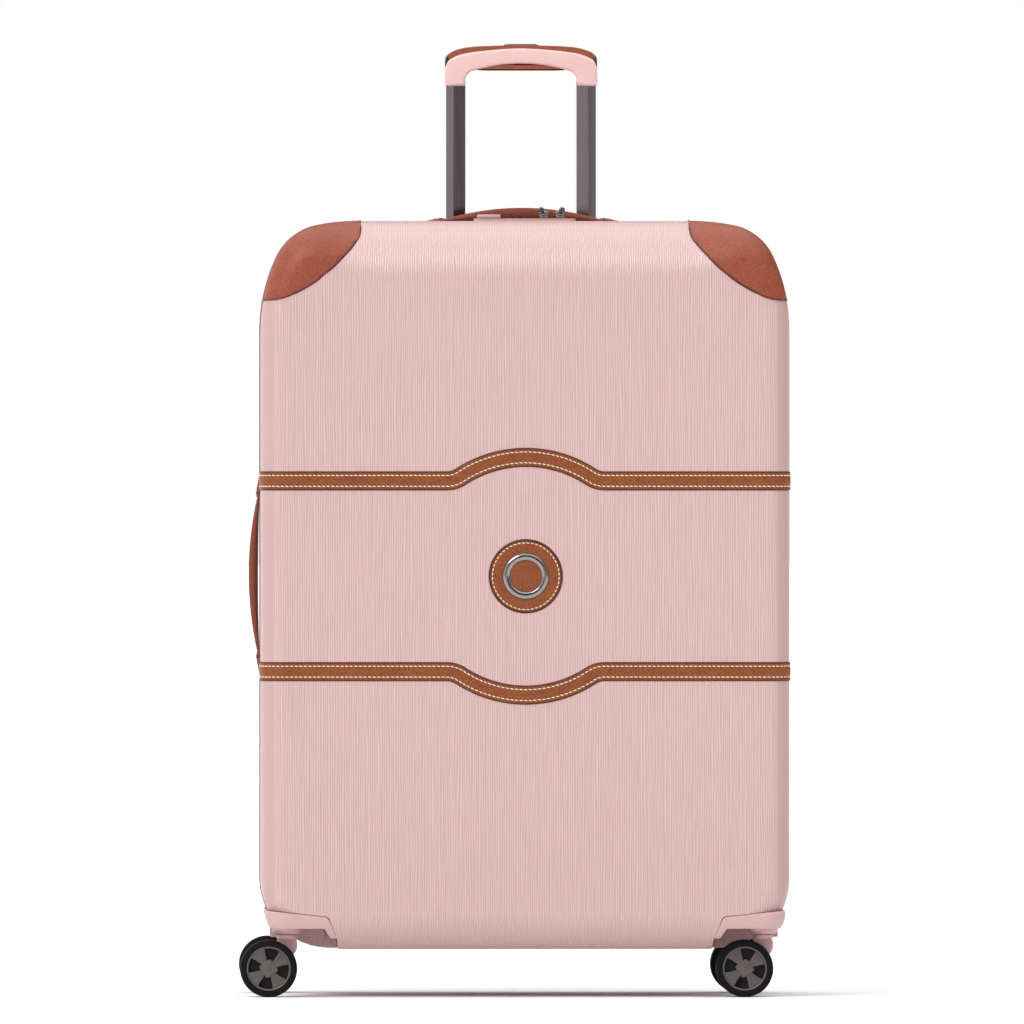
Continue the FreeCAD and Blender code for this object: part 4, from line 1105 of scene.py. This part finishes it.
# %% Zip tapes and teeth
TOOTH_PITCH = 3.2
TOOTH = ((2.9, 0.55, 0.2), (2.2, 0.75, 0.9), (0.3, 0.7, 1.1), (-0.6, 0.85, 1.0),
         (-0.95, 0.6, 0.5))        # reach over the middle, half width and height
tape_section = [(7.8, -0.6), (5.0, -0.5), (3.2, -0.55), (2.2, -0.42), (1.2, -0.42), (0.9, -0.8),
                (0.9, -1.5), (2.2, -1.9), (5.0, -2.0), (7.8, -2.1)]
for side, body, sign in (("front", "front_case", -1), ("rear", "root", 1)):
    section = [(sign * u, v) for u, v in tape_section]
    tape = piece(f"{side}_zip_tape", run(rim_path, rim_normals, section), tape_twill, body,
                 [f"{side}_zipper_tape"], sharp=60)
    teeth = []
    for centre, ahead, normal in evenly(rim_path, rim_normals, TOOTH_PITCH):
        middle = centre + ahead * TOOTH_PITCH * 0.25 * sign
        rings = []
        for reach, half, top in TOOTH:
            centre_line = middle + Vector((0, sign * reach, 0))
            rings.append([centre_line + ahead * a + normal * v for a, v in
                          ((-half, -0.5), (-half * 0.7, top), (half * 0.7, top), (half, -0.5))])
        teeth.append(skin(rings))
    chain = piece(f"{side}_zip_teeth", joined(teeth), zip_nylon, body)

# %% [markdown]
# ## Sliders and pulls
#
# The two sliders are die-cast zinc: a waisted top plate over the teeth and an upright bow with a
# round head, through which the pull's pin goes. The pulls lie forward over the lock, which catches
# their ends. They flare and thicken toward the fingertip.

# %% Sliders and pulls
PIVOT_Y, PIVOT_Z = -1.5, 770.0
DROOP = 0.14               # slope of a pull that leans on the lock
LEAN = 0.3                 # of a slider's bow, outward
HEAD_X, HEAD_Y, HEAD_Z = 2.3, -2.3, 772.0
PULL_Z, PULL_THICK = 768.8, 2.0
TIP_Z, TIP_THICK = 767.7, 3.3
WAIST = [(-6.4, -4.1), (6.4, -4.1), (6.4, -2.6), (4.9, 0), (6.4, 2.6), (6.4, 4.1), (-6.4, 4.1),
         (-6.4, 2.6), (-4.9, 0), (-6.4, -2.6)]
FLARE = [(-2.6, -8.5), (2.6, -8.5), (3.0, -16), (4.1, -26.0), (4.1, -30.4), (-4.1, -30.4),
         (-4.1, -26.0), (-3.0, -16)]
TIP = [(-3.9, -30.4), (3.9, -30.4), (3.6, -26.4), (-3.6, -26.4)]
HEAD = [(0.01, -1.4), (2.4, -1.4), (2.95, -0.8), (2.95, 0.8), (2.4, 1.4), (0.01, 1.4)]
EYE = [(1.2, -1.8), (2.1, -1.8), (2.1, -1.2), (1.2, -1.2)]
for side, lean in (("left", -1), ("right", 1)):
    low, high = box_mm(f"zip_slider_{side}")
    x0 = (low.x + high.x) / 2
    plate = slab(rounded(WAIST, 1.6), 2.6, 0.7, from_top(x0, 0, low.z))
    bow = [Vector((x0 + lean * (z - 764) * LEAN, HEAD_Y, z)) for z in (763.5, 765, 767, 769, 771.5)]
    post = run(bow, [FRONT] * len(bow), ellipse(1.5, 1.2, 12))
    middle = (x0 + lean * HEAD_X, HEAD_Y, HEAD_Z)
    head, eye = turned(HEAD, middle, (0, 1, 0), 28), turned(EYE, middle, (0, 1, 0), 20)
    piece(f"zip_slider_{side}_cast", joined([plate, post, head, eye]), nickel_zinc,
          f"zip_slider_{side}", [f"zip_slider_{side}"], sharp=50)
    pull = slab(rounded(FLARE, 1.4), PULL_THICK, 0.6, from_top(x0, 0, PULL_Z))
    tip = slab(rounded(TIP, 1.0), TIP_THICK, 0.6, from_top(x0, 0, TIP_Z))
    pin = skin([[Vector((x0 + x, PIVOT_Y + u, PIVOT_Z + v)) for u, v in ellipse(1.15, 1.15, 12)]
                for x in (-4.1, 4.1)])
    arms = [slab(rounded([(s * 2.3, -9.5), (s * 4.1, -9.5), (s * 4.1, -0.3), (s * 2.3, -0.3)], 0.5),
                 PULL_THICK, 0.5, from_top(x0, 0, PULL_Z)) for s in (-1, 1)]
    points, faces = joined([pull, tip, pin] + arms)
    drooping = [p + Vector((0, 0, (p.y - PIVOT_Y) * DROOP)) for p in points]
    piece(f"zip_puller_{side}_cast", (drooping, faces), polished_nickel,
          f"zip_puller_{side}", [f"zip_puller_{side}"], sharp=50)

# %% [markdown]
# ## Lock dials and release
#
# The three dials are thin wheels with fine teeth round their rim for the fingertip. The release is
# a pink slide with four low ridges across it.

# %% Dials and release
LOCK_Y, DIAL_Z, DIAL_R = -29.0, 755.0, 8.95
NOTCHES = 30
NOTCH = (0, 0.1, 0.5, 0.1)         # depth at four steps of one notch
for number in (1, 2, 3):
    low, high = box_mm(f"lock_dial_{number}")
    centre = Vector(((low.x + high.x) / 2, LOCK_Y, DIAL_Z))
    rings = []
    for k in range(NOTCHES * 4):
        angle = math.tau * k / (NOTCHES * 4)
        rim = DIAL_R - NOTCH[k % 4]
        out = Vector((0, math.cos(angle), math.sin(angle)))
        rings.append([centre + Vector((x, 0, 0)) + out * r for x, r in
                      ((-2.15, 1.6), (-2.15, rim - 0.6), (-1.5, rim), (1.5, rim),
                       (2.15, rim - 0.6), (2.15, 1.6))])
    piece(f"lock_dial_{number}_knurled", skin(rings, closed=True), dark_nylon,
          f"lock_dial_{number}", [f"lock_dial_{number}"], sharp=30)
SLIDE_THICK, STEM_X = 3.5, -34
low, high = box_mm("lock_release")
mid_x, long, wide = (low.x + high.x) / 2, (high.x - low.x) / 2, (high.y - low.y) / 2
body_z = high.z - 3.9
slide = slab(oblong(long, wide, 2.4), SLIDE_THICK, 1.1, from_top(mid_x, LOCK_Y, body_z))
stem = slab(oblong(4, 3, 0.8), body_z - low.z + 0.4, 0.3, from_top(STEM_X, LOCK_Y, low.z))
ridges = stitches([(Vector((mid_x + x, LOCK_Y, high.z - 0.42)), Vector((0, 1, 0)),
                    Vector((0, 0, 1))) for x in (-4.5, -1.5, 1.5, 4.5)], length=9.0, radius=0.5,
                  rise=0.1, slant=0.0)
piece("lock_release_slide", joined([slide, stem, ridges]), pink_abs, "lock_release",
      ["lock_release"], sharp=50)

# %% [markdown]
# ## Fabric hinge
#
# The right side opens on a strip of strong twill in place of the zip. It is one closed strip with
# a soft rib down each side, sewn to both halves. The real strip bends along its middle as the case
# opens; this one keeps a single shape.

# %% Hinge strip
RIB_Y = 5.6                # of the ribs from the middle of the strip
low, high = box_mm("hinge_gusset")
strip_y = [low.y + (high.y - low.y) * k / 14 for k in range(15)]


def strip_out(y):
    """How far out the strip's outer face is at a place across it."""
    rib = math.exp(-((abs(y) - RIB_Y) / 0.8) ** 2)
    return high.x - 0.55 + 0.5 * rib - 0.12 * math.cos(y * 0.4)


rings = []
for k in range(27):
    z = low.z + (high.z - low.z) * k / 26
    outer = [Vector((strip_out(y), y, z)) for y in strip_y]
    inner = [Vector((low.x + 0.15, y, z)) for y in reversed(strip_y)]
    rings.append(outer + inner)
gusset = piece("hinge_strip", skin(rings), tape_twill, stands_for=["hinge_gusset"],
               sharp=60)
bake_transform(gusset)
print("hinge strip:", round(high.z - low.z), "mm long")

# %% [markdown]
# ## Linings
#
# Each half is lined with a thin polyester cloth that is glued along the rim and hangs a little
# loose over the walls. Its shape is the lining of the frame, cut finer and pushed inward by a
# millimetre or so with a slow noise, so that the light breaks on it as on cloth. A cord binds its
# edge at the rim.

# %% Linings
MAX_EDGE = 0.028           # metres
MIDDLE = Vector((0, 0, 0.4))


def cloth_from(node, name, body):
    """A cloth copy of a part of the frame, cut finer and rumpled inward."""
    mesh = frame["nodes"][node].data.copy()
    mesh.name = name
    build = bmesh.new()
    build.from_mesh(mesh)
    bmesh.ops.remove_doubles(build, verts=build.verts, dist=1e-6)
    for _ in range(7):
        long_edges = [edge for edge in build.edges if edge.calc_length() > MAX_EDGE]
        if not long_edges:
            break
        bmesh.ops.subdivide_edges(build, edges=long_edges, cuts=1)
        bmesh.ops.triangulate(build, faces=build.faces)
    for vert in build.verts:
        rim = min(1.0, max(0.0, (abs(vert.co.y) - 0.012) / 0.03))
        slow = noise.noise(vert.co * 14) + 0.5 * noise.noise(vert.co * Vector((45, 45, 20)))
        vert.co += (MIDDLE - vert.co).normalized() * rim * (0.0009 + 0.0007 * slow)
    build.to_mesh(mesh)
    build.free()
    mesh.materials.clear()
    mesh.materials.append(lining_cloth)
    mesh.shade_smooth()
    mesh.set_sharp_from_angle(angle=math.radians(50))
    made = bpy.data.objects.new(name, mesh)
    bpy.context.scene.collection.objects.link(made)
    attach(made, body)
    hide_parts(node)
    print(f"{name}: {len(mesh.vertices)} points")
    return made


cord = ellipse(1.2, 1.2, 10)
for side, body, sign in (("front", "front_case", -1), ("rear", "root", 1)):
    cloth = cloth_from(f"{side}_lining", f"{side}_lining_cloth", body)
    line = case_line(sign * 9.6, low=HINGE_TO - 1, inset=4.9)
    binding = piece(f"{side}_lining_binding", run(line, out_normals(line), cord), tape_twill, body,
                    sharp=60)

# %% [markdown]
# ## Packing straps
#
# Two elastic webbing straps cross inside the rear half and meet under a dark buckle. Their edges
# are a little thicker than the middle, and each end is folded and sewn with a square of stitches.

# %% Straps and buckle
STRAP_HALF, STRAP_REACH, STRAP_RISE = 17.6, 241.0, 165.0 * 241 / 252
web = [(-STRAP_HALF, -0.6), (-STRAP_HALF, 0.6), (-STRAP_HALF + 1.6, 0.7), (-STRAP_HALF + 2.4, 0.4)]
web += [(-12 + 4 * k, 0.4 + 0.08 * (k % 2)) for k in range(7)]
web += [(-u, v) for u, v in reversed(web[:4])]
web += [(12 - 4 * k, -0.4 - 0.08 * (k % 2)) for k in range(7)]
for name, tilt, y, stands_for in (("rising", 1, 16.75, ["packing_straps"]),
                                  ("falling", -1, 18.35, ())):
    path = [Vector((STRAP_REACH * t, y, side_z + tilt * STRAP_RISE * t))
            for t in [-1 + k / 20 for k in range(41)]]
    strap = piece(f"{name}_strap", run(path, [FRONT] * 41, web), strap_webbing, "root",
                  stands_for, sharp=60)
    along = (path[-1] - path[0]).normalized()
    across = along.cross(FRONT)
    seam = []
    for end, inward in ((path[0], along), (path[-1], -along)):
        for u in range(-12, 13, 4):
            for step in (6, 16):
                seam.append((end + inward * step + across * u + FRONT * SEAM_UP, across, FRONT))
    sewn = piece(f"{name}_strap_stitches", stitches(seam, 3.0, 0.35, 0.12), thread, "root")


def on_buckle(front_y):
    """Places an outline on the buckle, with its depth going back from a plane."""
    return lambda x, z, d: Vector((x, front_y + d, z + side_z))


parts = [slab(oblong(25.9, 20.9, 6), 5.2, 1.6, on_buckle(13.15 - 5.2 / 2)),
         slab(oblong(11, 8, 4), 2.0, 0.7, on_buckle(9.55))]
parts += [slab(oblong(1.4, 12, 1.2, x), 1.4, 0.5, on_buckle(9.8)) for x in (-18.5, 18.5)]
piece("strap_buckle_moulded", joined(parts), dark_nylon, "root", ["strap_buckle"],
      sharp=50)
